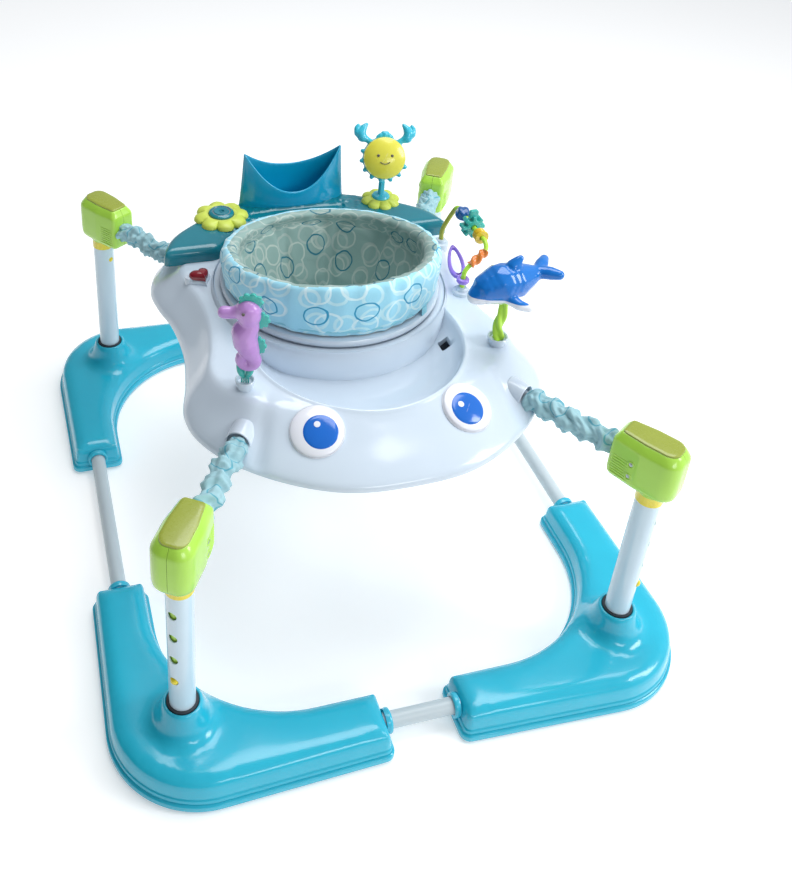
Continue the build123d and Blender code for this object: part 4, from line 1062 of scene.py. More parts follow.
CONSOLE_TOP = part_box("flower_petals")[0].z * 1000
CONSOLE_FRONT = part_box("console")[0].y * 1000
PEBBLE_MM = 10.0
CONSOLE_IN = WALL_FOOT + 3
outer = tray_ring(25, 720)
outer = outer[outer[:, 1] > CONSOLE_FRONT + 2]
outer = outer[np.argsort(np.arctan2(outer[:, 1] - SEAT_Y, outer[:, 0]))][::6]
start_angle = math.asin((CONSOLE_FRONT + 2 - SEAT_Y) / CONSOLE_IN)
angles = np.linspace(math.pi - start_angle, start_angle, 60)
inner = np.stack([CONSOLE_IN * np.cos(angles), SEAT_Y + CONSOLE_IN * np.sin(angles)], 1)
console_plan = curve_through(softened(np.concatenate([outer, inner]), 15.0), 560, closed=True)
ROLL = [(0, CONSOLE_TOP - 27), (0.3, CONSOLE_TOP - 14), (1.5, CONSOLE_TOP - 9), (3.5, CONSOLE_TOP - 5.4),
        (6.0, CONSOLE_TOP - 3.0), (9.0, CONSOLE_TOP - 1.3), (12.5, CONSOLE_TOP - 0.4), (17.0, CONSOLE_TOP)]
BAR_Y, BAR_HALF, BAR_WIDE = 250.0, 76.0, 8.0
BAR_BOW = 0.0006  # the bar's ends curve forwards by this times their distance squared


def console_height(points):
    """Rolled edge, pebbled water and the sunk bar."""
    x, y = points[:, 0], points[:, 1]
    base = np.interp(from_edge(points, console_plan), *zip(*ROLL))
    bar = np.hypot(np.maximum(np.abs(x) - BAR_HALF, 0), y - BAR_Y + BAR_BOW * x ** 2) - BAR_WIDE
    wet = ramp(np.abs(x), 165, 105) * ramp(bar, 1.5, 5.0) * ramp(base, CONSOLE_TOP - 3, CONSOLE_TOP)
    cells = np.array([noise.voronoi((a / PEBBLE_MM, b / PEBBLE_MM, 0.3))[0][0] for a, b in points])
    pebbles = 1.9 * np.clip(1 - (cells / 0.62) ** 2, 0, 1)
    sunk = 2.4 * ramp(bar, 0.6, -1.2)
    lip = 0.9 * np.exp(-((bar - 1.6) / 1.0) ** 2)
    return base + wet * (pebbles - 0.9) - sunk + lip


console_rings = [(drawn_in(console_plan, d), z) for d, z in ROLL if d < 8]
console_sheet = relief(console_rings, [], console_height, 2.6)
piece("water_console", console_sheet, teal_abs, "tray", ["console"], sharp=60)
print("console:", len(console_sheet[0]), "points")

# %% [markdown]
# ## The fish tail
#
# The tail is a deep pocket: a low front wall and a taller back wall that lean together and meet in two
# upturned tips. It is built as one sheet that runs up the outside, over a rolled rim and down the inside.
# Each wall is a curve across the width whose height dips in the middle, and a row of small notches along the
# foot of the front wall repeats the scales pressed there.

# %% Fish tail
tail_low, tail_high = (c * 1000 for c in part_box("fishtail"))
TAIL_Y = (tail_low.y + tail_high.y) / 2 + 3
TAIL_HALF, TIP_HALF, TIP_Z = tail_high.x, 84.0, tail_high.z
TAIL_WALL = 3.4


def tail_sheet(front, inside):
    """One wall as rows of points from foot to rim, outside or inside the plastic."""
    rows = []
    shift = TAIL_WALL if inside else 0.0
    dip = 27.0 if front else 60.0
    belly = -27.0 if front else 20.0
    for u in np.linspace(-1, 1, 57):
        bend = 1 - u * u
        top = CONSOLE_TOP + dip + (TIP_Z - CONSOLE_TOP - dip) * abs(u) ** 2.1
        column = []
        for v in np.linspace(0, 1, 20):
            half = TAIL_HALF + (TIP_HALF - TAIL_HALF) * v ** 0.8
            x = u * (half - shift * 0.8)
            foot = CONSOLE_TOP - 2 if not inside else CONSOLE_TOP + 4
            z = foot + (top - foot) * v
            rise = (z - CONSOLE_TOP) / (TIP_Z - CONSOLE_TOP)
            flare = 1.0 + 0.12 * math.sin(math.pi * rise)
            depth = (abs(belly) - shift) * bend ** 0.8 * flare * (1 - 0.25 * rise)
            scales = 0.7 * abs(math.sin(u * 28)) * math.exp(-((v - 0.16) / 0.05) ** 2)
            scales = scales if front and not inside else 0
            y = TAIL_Y + math.copysign(depth + (1.2 if not inside else 0.2) * (1 - bend) ** 4 + scales, belly)
            column.append((x, y, z))
        rows.append(column)
    return np.array(rows)


def pocket():
    """Front and back walls as one closed ring of columns, outside then inside."""
    outside = np.concatenate([tail_sheet(True, False), tail_sheet(False, False)[::-1]])
    inside = np.concatenate([tail_sheet(True, True), tail_sheet(False, True)[::-1]])
    rings = [outside[:, k] for k in range(20)]
    rim_out, rim_in = outside[:, -1], inside[:, -1]
    rolled = (rim_out + rim_in) / 2 + (0, 0, 1.3)
    rings.append(rim_out * 0.75 + rim_in * 0.25 + (0, 0, 1.0))
    rings.append(rolled)
    rings.append(rim_out * 0.25 + rim_in * 0.75 + (0, 0, 1.0))
    rings += [inside[:, k] for k in range(19, -1, -1)]
    return skin(rings, caps=(True, True))


piece("fish_tail_pocket", pocket(), tail_abs, "tray", ["fishtail"], sharp=60)
print("tail pocket: tips at", round(TIP_Z), "mm")

# %% [markdown]
# ## Flowers, button, stem and sun
#
# Two soft-touch flowers are clipped into the console. A flower is a polar relief: its edge reaches further
# out at each petal's middle, the whole is a low dome, and a crease runs between petals. The left one holds a
# push button with a ring groove, the right one a turned cup and the stem of a sun toy.


# %% Flowers
def flower(x0, y0, z0, size, rise, hole):
    """Eight domed petals round a hole, as rings from the centre out and under."""
    angles = full_turn(160)
    petal = np.abs(np.cos(4 * angles))
    reach = size * (0.80 + 0.20 * petal ** 0.55)
    rings = [np.stack([x0 + hole * np.cos(angles), y0 + hole * np.sin(angles), np.full(160, z0)], 1)]
    for share in np.linspace(0, 1, 14):
        r = hole + (reach - hole) * share
        crease = 0.32 * rise * (1 - petal ** 0.8) * ramp(share, 0.25, 0.8)
        dome = rise * (1 - share ** 3.2) ** 0.5 * (0.8 + 0.2 * ramp(share, 0, 0.3))
        z = z0 + dome - crease * (1 - share ** 6)
        rings.append(np.stack([x0 + r * np.cos(angles), y0 + r * np.sin(angles), z], 1))
    rings.append(np.stack([x0 + reach * 0.97 * np.cos(angles), y0 + reach * 0.97 * np.sin(angles),
                           np.full(160, z0 - 1.5)], 1))
    return skin(rings, caps=(True, True))


push = middle("flower_button")
sun_post = middle("sun_stem")
left_flower = flower(push.x, push.y, CONSOLE_TOP + 0.5, 46.0, 10.0, 21.6)
left_seat = lathe([(21.5, 2.0), (22.2, 8.6), (25.5, 9.8), (28.0, 8.6), (28.4, 6.0)],
                  (push.x, push.y, CONSOLE_TOP), closed=True)
right_flower = flower(sun_post.x, sun_post.y, CONSOLE_TOP + 0.5, 34.0, 8.0, 12.0)
piece("flower_petal_mouldings", joined(left_flower, left_seat, right_flower), petal_lime, "tray",
      ["flower_petals"], sharp=50)
BUTTON = [(0.05, 12.6), (1.6, 12.5), (2.2, 11.2), (4.2, 11.3), (4.8, 12.9), (12.0, 13.6), (13.2, 12.2),
          (15.0, 12.0), (16.0, 13.2), (18.6, 12.6), (20.6, 10.8), (21.0, 8.0), (21.0, 4.0)]
piece("flower_push_button", lathe(BUTTON, (push.x, push.y, CONSOLE_TOP)), teal_abs, "flower_button",
      ["flower_button"])
# The darker ring laid in the groove is painted shade.
piece("push_button_groove", lathe([(13.1, 12.5), (14.0, 12.7), (15.1, 12.3)], (push.x, push.y, CONSOLE_TOP),
                                  closed=True), shadow_teal, "flower_button")
STEM_FOOT = CONSOLE_TOP + 8
STEM_TOP = top_of("sun_stem") - 1.5
stem = lathe([(12.0, -6.0), (15.0, -2.0), (15.4, 1.5), (13.5, 4.0), (9.0, 5.0), (6.4, 6.0), (5.2, 9.0),
              (4.8, 20.0), (4.8, STEM_TOP - STEM_FOOT)], (sun_post.x, sun_post.y, STEM_FOOT), segments=40)
ribs = [tube([(sun_post.x + 4.6 * math.cos(a), sun_post.y + 4.6 * math.sin(a), STEM_FOOT + z)
              for z in (7, 18, 28)], 1.1, 8) for a in full_turn(6)]
piece("sun_stem_moulding", joined(stem, *ribs), aqua_abs, "tray", ["sun_stem"])

# %% [markdown]
# The sun is a flat dome, front and back alike, held in an aqua frame whose stubby rays, two curled claws and
# a knobbly crest show round it. Rays and claws are rolled like clay from balls and pressed into one skin,
# which gives the soft joins of a real moulding. The smile is a thin raised line. Everything turns with the
# sun on its stem.

# %% Sun toy
SUN_AIM = Vector((-0.22, -0.86, 0.46)).normalized()
SUN_R = 36.0
SUN_AT = Vector((sun_post.x, sun_post.y, top_of("sun_stem") + 14))
sun_x = Vector((0.97, -0.25, 0)).normalized()
sun_x = (sun_x - SUN_AIM * sun_x.dot(SUN_AIM)).normalized()
sun_y = SUN_AIM.cross(sun_x)


def on_sun(u, v, w=0.0):
    """A point given across, up and out from the sun's middle."""
    return tuple(SUN_AT + sun_x * u + sun_y * v + SUN_AIM * w)


def sun_skin(r):
    """Height of the sun's front at r from its middle."""
    return 8 + 10 * (1 - (r / SUN_R) ** 2.4)


face = [(0.05, sun_skin(0))] + [(r, sun_skin(r)) for r in (6, 12, 18, 24, 29, 32.5, 34.6)]
face += [(35.4, 5.5), (35.4, -3.0), (33.0, -8.0), (24.0, -13.0), (12.0, -15.5), (0.05, -16.0)]
piece("sun_dome", lathe(face, SUN_AT, SUN_AIM, 80), sun_yellow, "sun", ["sun_face"])
chains = []
RAY_ANGLES = range(-197, -21, 25)  # eight stubby rays round the sides and the bottom, in degrees
RAY = ((33, 4.2), (38.5, 3.9))  # each ray's balls, as distance from the middle and radius
LONG_PINCER = ((24, 27, 5), (31, 31, 5.5), (38, 34, 8.5), (40, 42, 8.5), (36, 50, 6), (31, 56, 3.2))
SHORT_PINCER = ((38, 35, 7.5), (46, 41, 6.5), (48, 49, 4.4), (45, 55, 2.6))
CREST = ((-7, 38, 4.5), (0, 40, 5.5), (7, 38, 4.5), (-3, 43, 3.0), (4, 43, 3.0), (12, 36, 3.0),
         (-12, 36, 3.0))
FRAME_R = 33
for a in map(math.radians, RAY_ANGLES):
    chains.append([(*on_sun(reach * math.cos(a), reach * math.sin(a)), r) for reach, r in RAY])
for side in (-1, 1):
    chains += [[(*on_sun(side * u, v), r) for u, v, r in pincer] for pincer in (LONG_PINCER, SHORT_PINCER)]
for u, v, r in CREST:
    chains.append([(*on_sun(u, v), r), (*on_sun(u, v - 3), r)])
chains.append([(*on_sun(FRAME_R * math.cos(a), FRAME_R * math.sin(a), -1), 4.0)
               for a in np.linspace(0, 2 * math.pi, 25)])
piece("sun_rays_and_claws", blobs(chains, 1.5, 4), aqua_abs, "sun", sharp=80)
eyes = []
for u in (-11.5, 11.5):
    eyes.append(lathe([(0.05, 1.3), (1.6, 1.1), (2.4, 0.4), (2.5, -0.8)], on_sun(u, 4, sun_skin(12) - 0.2),
                      SUN_AIM, 20))
smile = [on_sun(9 * math.sin(t), -3.2 - 6.8 * math.cos(t), sun_skin(9) + 0.35)
         for t in np.linspace(-1.05, 1.05, 15)]
piece("sun_smile", joined(tube(smile, 0.75, 8), *eyes), dark_ink, "sun")
print("sun toy at", [round(c) for c in SUN_AT])

# %% [markdown]
# ## Toy cups and the heart
#
# White tapered cups stand on the tray and hold the toys. Each is a turned shape with a rolled mouth, and the
# two at the bead arch step out in a wide foot. The heart is a red dome on a white heart, both cut from one
# formula: a circle pinched at the bottom and notched at the top, with a height that falls off towards its
# edge.


# %% Cups
def cup(x, y, radius, tall, sunk=14.0):
    """A tapered cup with a rolled mouth, its foot sunk into the tray."""
    return lathe([(radius * 0.62, -sunk), (radius * 0.8, 0), (radius * 0.98, tall - 2), (radius, tall),
                  (radius * 0.93, tall + 0.9), (radius * 0.82, tall), (radius * 0.74, tall - 5),
                  (0.05, tall - 6)], (x, y, DECK), segments=48)


def stepped_cup(x, y):
    """A wide disc foot with a smaller step, for an arch end."""
    return lathe([(13, -8), (13.6, 3), (13.2, 5.5), (11.5, 6.6), (8.6, 7.0), (8.2, 10.5), (7.2, 11.6),
                  (0.05, 11.8)], (x, y, DECK), segments=48)


SEAHORSE = (-182.0, -150.0)
stalk_low, stalk_high = (c * 1000 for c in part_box("whale_stalk"))
WHALE = (stalk_low.x + 7, (stalk_low.y + stalk_high.y) / 2)
arch_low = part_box("bead_arch")[0] * 1000
ARCH_NEAR = (arch_low.x + 3.6, arch_low.y + 3.6)
ARCH_FAR = (216.0, 131.0)
heart = middle("heart_knob")
piece("toy_cups", joined(cup(*SEAHORSE, 13.5, 14), cup(*WHALE, 15, 13, 22), stepped_cup(*ARCH_NEAR),
                         stepped_cup(*ARCH_FAR)),
      white_abs, "tray", ["toy_sockets"])


def heart_form(size, z0, rise, x0, y0, turn):
    """A domed heart: rings of one outline shrinking towards the top."""
    t = full_turn(96)
    outline = np.stack([16 * np.sin(t) ** 3,
                        13 * np.cos(t) - 5 * np.cos(2 * t) - 2 * np.cos(3 * t) - np.cos(4 * t)], 1)
    outline = outline / 16 * size + (0, size * 0.12)
    c, s = math.cos(turn), math.sin(turn)
    outline = outline @ np.array([[c, s], [-s, c]])
    rings = [at_height(outline + (x0, y0), z0)]
    for share in (0.0, 0.25, 0.5, 0.7, 0.85, 0.95):
        k = math.sqrt(1 - share ** 2)
        rings.append(at_height(outline * k + (x0, y0), z0 + rise * (0.35 + 0.65 * share)))
    rings.append(at_height(outline * 0.05 + (x0, y0), z0 + rise))
    return skin(rings)


HEART_TURN = 0.35
heart_seat = heart_form(20, DECK - 3, 11, heart.x, heart.y, HEART_TURN)
nub = lathe([(7.0, -6.0), (7.4, 6.0), (6.4, 8.2), (3.0, 9.2), (0.05, 9.4)], (heart.x - 17, heart.y + 3, DECK),
            segments=32)
piece("heart_seat", joined(heart_seat, nub), white_abs, "tray")
piece("heart_dome", heart_form(16.0, DECK + 7, 11.5, heart.x, heart.y, HEART_TURN), heart_red, "heart_knob",
      ["heart_knob"], sharp=70)

# %% [markdown]
# ## Seahorse
#
# The lilac seahorse has a round head, a long snout that ends in a bulb, a full belly and a tail curled into a
# ring. Modelling clay is the right idea for it: balls are rolled along each limb, remeshed into one skin and
# smoothed. The teal fins are scalloped flat cuts behind it, and thin teal rods hold it in its cup.

# %% Seahorse
SEA_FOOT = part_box("seahorse_body")[0].z * 1000 - 8
sea_x, sea_out = Vector((0.94, -0.34, 0)).normalized(), Vector((-0.34, -0.94, 0)).normalized()


def on_sea(u, v, w=0.0):
    """A point across, up and out from the foot of the seahorse."""
    return Vector((*SEAHORSE, SEA_FOOT)) + sea_x * u + Vector((0, 0, v)) + sea_out * w


def balls(*points):
    """A chain of balls from (across, up, radius) or (across, up, radius, out)."""
    return [(*on_sea(p[0], p[1], p[3] if len(p) > 3 else 0), p[2]) for p in points]


ring = [(4 + 10.5 * math.cos(t), 25 + 10.5 * math.sin(t), 8.0)
        for t in np.linspace(0.5, 0.5 + 2 * math.pi, 15)]
sea_chains = [balls((3, 106, 17.5), (4, 99, 17)),
              balls((-8, 104, 10), (-17, 100, 8), (-25, 100, 9), (-29, 100, 9)),
              balls((5, 94, 13), (5, 82, 14), (-2, 70, 18), (0, 56, 18), (5, 44, 15), (9, 34, 11),
                    (11, 28, 9)), balls(*ring)]
piece("seahorse_clay", blobs(sea_chains, 1.6, 8), lilac_abs, "seahorse", ["seahorse_body"],
      sharp=80)


def scallop(u, v, size, lobes, turn, squash=1.0):
    """A fan of rounded lobes as a closed loop."""
    t = full_turn(120)
    r = size * (0.8 + 0.2 * np.abs(np.cos(lobes * t / 2 + turn)))
    return np.stack([u + r * np.cos(t) * squash, v + r * np.sin(t)], 1)


foot_at = on_sea(0, 0)
fins = [cut_shape([scallop(6, 120, 13, 9, 0.2, 1.3)], 5, 1.6, foot_at, sea_x, sea_out),
        cut_shape([scallop(19, 92, 13, 9, 0.5)], 5, 1.6, foot_at, sea_x, sea_out),
        cut_shape([scallop(16, 50, 15, 9, 0.1, 0.8)], 5, 1.6, foot_at, sea_x, sea_out)]
for lean in (-1, 1):
    leaf = [on_sea(lean * (2 + 9 * f), -6 + 21 * f) for f in np.linspace(0, 1, 9)]
    fins.append(tube(leaf, 4.6 * np.sin(np.linspace(0.5, math.pi - 0.25, 9)), 14))
for u in (-4.5, -1.5, 1.5, 4.5):
    fins.append(tube([on_sea(u, -14), on_sea(u * 0.9, 2), on_sea(u * 0.8 + 2, 19)], 1.25, 10))
piece("seahorse_fins_and_rods", joined(*fins), fin_teal, "seahorse", ["seahorse_fins"],
      sharp=50)
eye = lathe([(0.05, 1.2), (1.8, 0.8), (2.4, -0.6)], on_sea(-2, 110, 16.4), sea_out, 20)
piece("seahorse_eye", eye, dark_ink, "seahorse")

# %% [markdown]
# ## Whale on a twisted stalk
#
# The whale is plump at the head, which points down to the left, and narrows to two flukes. It is rolled from
# clay as well: a fat chain for the body, then flattened chains for the back fin, the flippers and the flukes.
# Its stalk is a flexible cord of three strands twisted together, so its section has three lobes that turn
# along its length.

# %% Whale and stalk
WHALE_Z = top_of("whale_stalk") + 24
whale_turn = math.radians(4)


def on_whale(u, v, w, r):
    """A ball of radius r at u towards the tail, v towards the back and w up from the body's middle."""
    c, s = math.cos(whale_turn), math.sin(whale_turn)
    return (WHALE[0] + 4 + u * c - v * s, WHALE[1] + u * s + v * c, WHALE_Z + w, r)


WHALE_BODY = ((-44, 0, -9, 15), (-32, 0, -4, 24), (-14, 0, 0, 30), (4, 0, 1, 28), (22, 0, 4, 20),
              (36, 0, 7, 13), (48, 0, 10, 9))
WHALE_CHIN = ((-44, 0, -11, 17), (-51, 0, -14, 13))
BACK_FIN = ((2, 0, 26, 11), (7, 0, 34, 7), (11, 0, 38, 5))
FLUKE = ((46, 3, 10, 10), (56, 12, 12, 10), (65, 21, 13, 7.5))
FLIPPER = ((-12, 24, -10, 9), (-3, 37, -14, 8), (8, 45, -16, 6))
whale_chains = [[on_whale(*ball) for ball in chain] for chain in (WHALE_BODY, WHALE_CHIN, BACK_FIN)]
for side in (-1, 1):
    whale_chains += [[on_whale(u, side * v, w, r) for u, v, w, r in chain] for chain in (FLUKE, FLIPPER)]
piece("whale_clay", blobs(whale_chains, 1.7, 8), whale_spray, "whale", ["whale_body"], sharp=80)
eyes = [lathe([(0.05, 0.9), (1.7, 0.6), (2.2, -1.4)], on_whale(-38, side * 20.2, -5, 0)[:3],
              (-0.5, side * 0.85, 0), 16) for side in (-1, 1)]
piece("whale_eyes", joined(*eyes), dark_ink, "whale")
stalk_path = curve_through([(WHALE[0], WHALE[1], DECK - 2), (WHALE[0], WHALE[1], DECK + 14),
                            (WHALE[0] - 1, WHALE[1] + 1, DECK + 36), (WHALE[0] + 2, WHALE[1], DECK + 60),
                            (WHALE[0] + 4, WHALE[1], WHALE_Z - 16)], 90)
cord = tube(stalk_path, np.linspace(7.0, 5.4, 90), 36, lobes=3, lobe_depth=0.36, twist=17.0)
piece("whale_stalk_cord", cord, stalk_lime, "tray", ["whale_stalk"], sharp=70)

# %% [markdown]
# ## Bead arch
#
# A bent lime tube carries the beads: an orange spiral, a purple leaf ring, a twisted blue bead, a teal gear
# with a square tab and a ribbed yellow ring. The tube runs through the same bends as its CAD, and each bead
# is turned or cut to size about the tube, with room to spin. The far leg is olive, as its plastic is a
# different colour.

# %% Arch tube and spiral
ARCH_X, ARCH_Z = middle("yellow_bead").x, middle("yellow_bead").z
CUP_TOP = DECK + 9
arch_points = [(ARCH_NEAR[0], ARCH_NEAR[1], CUP_TOP), (ARCH_NEAR[0], ARCH_NEAR[1], CUP_TOP + 20),
               (ARCH_NEAR[0] + 6, ARCH_NEAR[1] + 3, CUP_TOP + 34),
               (ARCH_X - 6, ARCH_NEAR[1] + 11, ARCH_Z - 9), (ARCH_X, ARCH_NEAR[1] + 24, ARCH_Z),
               (ARCH_X, 38, ARCH_Z), (ARCH_X, 90, ARCH_Z), (ARCH_X, ARCH_FAR[1] - 8, ARCH_Z),
               (ARCH_X - 5, ARCH_FAR[1] + 1, ARCH_Z - 14), (ARCH_FAR[0] + 1, ARCH_FAR[1], CUP_TOP + 22),
               (ARCH_FAR[0], ARCH_FAR[1], CUP_TOP)]
arch_path = curve_through(arch_points, 200)
piece("arch_tube", tube(arch_path[:150], 3.6, 20), stalk_lime, "tray", ["bead_arch"], sharp=60)
piece("arch_far_leg", tube(arch_path[148:], 3.75, 20), olive_tpe, "tray", sharp=60)
spiral_path = arch_path[44:62]
spiral = tube(curve_through(spiral_path, 60), np.full(60, 6.4), 30, lobes=2, lobe_depth=0.22, twist=14.0)
piece("orange_spiral_bead", spiral, bead_orange, "tray", sharp=70)

# %% Beads on the arch
yellow, gear, blue = (middle(n) for n in ("yellow_bead", "gear_bead", "blue_bead"))
BORE = 4.2
ribbed = [(BORE, -7.5), (8.4, -7.5), (9.6, -6.4)]
for k in range(4):
    ribbed += [(10.4, -5.0 + k * 3.2), (9.0, -3.6 + k * 3.2)]
ribbed += [(11.6, 7.0), (10.6, 8.4), (BORE, 8.4)]
piece("yellow_ribbed_bead", lathe(ribbed, yellow, (0, -1, 0), 48, closed=True), bead_yellow, "yellow_bead",
      ["yellow_bead"])
blue_rings = []
for f in np.linspace(0, 1, 25):
    t = full_turn(60)
    r = (5.6 + 6.0 * math.sin(math.pi * f) ** 0.7) * (1 + 0.09 * np.cos(5 * t + 3.0 * f))
    blue_rings.append(np.stack([blue.x + r * np.cos(t), np.full(60, blue.y + (f - 0.5) * 26),
                                blue.z + r * np.sin(t)], 1))
hollow = [np.stack([blue.x + BORE * np.cos(t), np.full(60, blue.y + s * 13.0), blue.z + BORE * np.sin(t)], 1)
          for s in (1, -1)]
piece("blue_twisted_bead", skin(blue_rings + hollow, closed=True), bead_blue, "blue_bead",
      ["blue_bead"], sharp=60)
t = full_turn(192)
teeth = 15.5 + 3.4 * np.clip(3 * np.cos(8 * t), -1, 1)
gear_loop = np.stack([teeth * np.cos(t), teeth * np.sin(t)], 1)
gear_plate = cut_shape([gear_loop, circle(BORE + 0.3, count=32)], 16, 1.4, gear, (1, 0, 0), (0, 1, 0))
tab = cut_shape([rounded([(-7, 0, 2.5), (7, 0, 2.5), (7, 13, 3), (-7, 13, 3)], 1.5)], 7, 1.3,
                gear + Vector((0, 0, 15)), (1, 0, 0), (0, -1, 0))
piece("teal_gear_bead", joined(gear_plate, tab), fin_teal, "gear_bead", ["gear_bead"],
      sharp=50)
LEAF_AT = Vector((ARCH_NEAR[0], ARCH_NEAR[1], middle("leaf_ring").z))
LEAF_LEAN = math.radians(10)
t = full_turn(96)


def leaf_loop(wide, long, tip):
    """A pointed oval beside the arch leg, leaning away from it, in the leaf's own plane."""
    u = wide * np.cos(t) * (1 - 0.25 * np.sin(t))
    v = 50 + long * np.sin(t) + tip * np.maximum(np.sin(t), 0) ** 6
    return np.stack([0.18 * v + u * math.cos(LEAF_LEAN) + 0.6 * (v - 50) * math.sin(LEAF_LEAN), v], 1)


leaf = cut_shape([leaf_loop(14, 43, 2), leaf_loop(7.5, 33, 2)], 7, 3.2, LEAF_AT, (1, 0, 0), (0, 0, 1))
leaf_eye = lathe([(BORE, -3.6), (8.6, -3.8), (10.0, -2.0), (10.0, 2.0), (8.6, 3.8), (BORE, 3.6)], LEAF_AT,
                 closed=True)
piece("purple_leaf_ring", joined(leaf, leaf_eye), leaf_purple, "leaf_ring", ["leaf_ring"],
      sharp=60)
print("arch, spiral and five beads")

# %% [markdown]
# ## Seat ring and fabric seat
#
# A white ring turns on the tray's round wall, and the fabric bucket hangs from it. The cloth is one padded
# sheet: it rises from the bottom, fills out between its sewn panel seams, rolls over the top edge and comes
# down outside to a bound seam. The rim is highest in front and slopes down to the back. The sheet is made as
# a surface of turned rings with two openings for the legs, given thickness, and then inflated by a short
# cloth simulation with the seams pinned, which gives each panel some of the slack fullness of real padding.

# %% Seat ring
ring_low, ring_high = (c * 1000 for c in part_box("seat_ring"))
SEAT = (0.0, SEAT_Y, 0.0)
RING = [(153.4, ring_low.z + 2), (153.2, ring_high.z - 2), (154.6, ring_high.z - 0.4), (163, ring_high.z),
        (167.2, ring_high.z - 0.8), (169.0, ring_high.z - 3.2), (169.2, ring_high.z - 7.5),
        (168.2, ring_high.z - 9.8), (164.0, ring_high.z - 10.5), (162.0, ring_high.z - 12),
        (162.0, ring_low.z + 1), (158, ring_low.z)]
piece("turning_seat_ring", lathe(RING, SEAT, segments=160, closed=True), white_abs, "seat",
      ["seat_ring"])

# %% Seat sheet
RIM_TOP = top_of("seat_fabric")
BUCKET_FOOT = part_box("seat_fabric")[0].z * 1000
PANELS = 10
AROUND = 180
BAND_TALL = 84.0  # height of the outside band where the rim is highest
BAND_FOOT = RIM_TOP - BAND_TALL
RIM_DROP = 66.0  # how much lower the rim is at the back than at the front
SLANT_R = 162.0  # the rim slopes evenly over this distance either side of the seat's middle
bucket_profile = curve_through([(0, BUCKET_FOOT + 3), (42, BUCKET_FOOT + 3), (80, BUCKET_FOOT + 4),
                                (102, BUCKET_FOOT + 26), (121, BUCKET_FOOT + 60), (135, BUCKET_FOOT + 92),
                                (143, BUCKET_FOOT + 116), (146, BUCKET_FOOT + 134), (146, RIM_TOP - 40),
                                (144, RIM_TOP - 16), (148, RIM_TOP - 4), (155, RIM_TOP - 0.5),
                                (161.5, RIM_TOP - 4), (165, RIM_TOP - 16), (166, RIM_TOP - 38),
                                (164.5, RIM_TOP - 62), (163.0, RIM_TOP - 74), (158, BAND_FOOT)], 84)
lengths = np.concatenate([[0], np.cumsum(np.linalg.norm(np.diff(bucket_profile, axis=0), axis=1))])
LEG_X, LEG_Y, LEG_R = 60.0, -52.0, 38.0
seat_points, seat_cut = [], []


def slanted(y, z):
    """Height of a point of the band once its rim slopes down to the back."""
    back_share = min(1.0, max(0.0, (y - SEAT_Y + SLANT_R) / (2 * SLANT_R)))
    return z if z < BAND_FOOT else BAND_FOOT + (z - BAND_FOOT) * (1 - RIM_DROP * back_share / BAND_TALL)


around = full_turn(AROUND)
seam_phase = np.abs(((around / (2 * math.pi) * PANELS) % 1) - 0.5) * 2
for (radius, z), down in zip(bucket_profile[1:], lengths[1:]):
    rim_share = float(ramp(down, lengths[-1] - 190, lengths[-1] - 84))
    body_share = float(ramp(down, 60, 140))
    gather = 1.8 * rim_share * np.sin(26 * around + 2.2 * np.sin(5 * around)) * np.sin(11 * around + 1) ** 2
    seam_dent = 3.2 * body_share * seam_phase ** 10
    r = radius + gather - seam_dent * (1 if down < lengths[-1] - 92 else 0.5)
    sag = 2.0 * body_share * np.sin(3 * around + 0.7) * (1 - rim_share)
    for a, rr, s in zip(around, r, sag):
        spot_y = SEAT_Y + rr * math.sin(a)
        seat_points.append((rr * math.cos(a), spot_y, slanted(spot_y, z + (s if down > 140 else 0))))
        seat_cut.append((a / (2 * math.pi) * 0.98, down * MM))
rows = len(bucket_profile) - 1
seat_faces, kept, removed = [], set(), set()
for k in range(rows - 1):
    for i in range(AROUND):
        j = (i + 1) % AROUND
        corners = (k * AROUND + i, k * AROUND + j, (k + 1) * AROUND + j, (k + 1) * AROUND + i)
        centre = np.mean([seat_points[c] for c in corners], axis=0)
        in_leg = math.hypot(abs(centre[0]) - LEG_X, centre[1] - SEAT_Y - LEG_Y) < LEG_R
        if in_leg and centre[2] < BAND_FOOT - 40:
            removed.update(corners)
        else:
            kept.update(corners)
            seat_faces.append(corners)


LOWER_SAMPLES = 36  # the radius only grows over these first samples of the profile


def on_bucket(x, y):
    """A point of the bucket's lower part, at the height its profile gives."""
    return (x, y, float(np.interp(math.hypot(x, y - SEAT_Y), *bucket_profile[:LOWER_SAMPLES].T)))


for v in removed & kept:
    leg = Vector((math.copysign(LEG_X, seat_points[v][0]), SEAT_Y + LEG_Y))
    edge_point = leg + (Vector(seat_points[v][:2]) - leg).normalized() * LEG_R
    seat_points[v] = on_bucket(*edge_point)
seat_faces.append(tuple(range(AROUND - 1, -1, -1)))

mesh = bpy.data.meshes.new("padded_seat")
mesh.from_pydata([Vector(p) * MM for p in seat_points], [], seat_faces)
seat = bpy.data.objects.new("padded_seat", mesh)
scene.collection.objects.link(seat)
cut_map = mesh.uv_layers.new(name="cut")
for face in mesh.polygons:
    us = [seat_cut[v][0] for v in face.vertices]
    for loop in face.loop_indices:
        u, v = seat_cut[mesh.loops[loop].vertex_index]
        cut_map.data[loop].uv = (u + 0.98 if max(us) - u > 0.5 else u, v)
seams = seat.vertex_groups.new(name="sewn")
sewn = [i for i in range(len(seat_points)) if seam_phase[i % AROUND] > 0.93 or i // AROUND in (0, 1, rows - 1)
        or i // AROUND in (rows - 4, rows - 5)]
seams.add(sewn, 1.0, "REPLACE")
mesh.materials.append(seat_inside_painted_shade)
mesh.materials.append(seat_outside)
rim_z = (RIM_TOP - 14) * MM
mesh.update()
print("seat sheet:", len(mesh.polygons), "faces,", len(sewn), "points sewn")

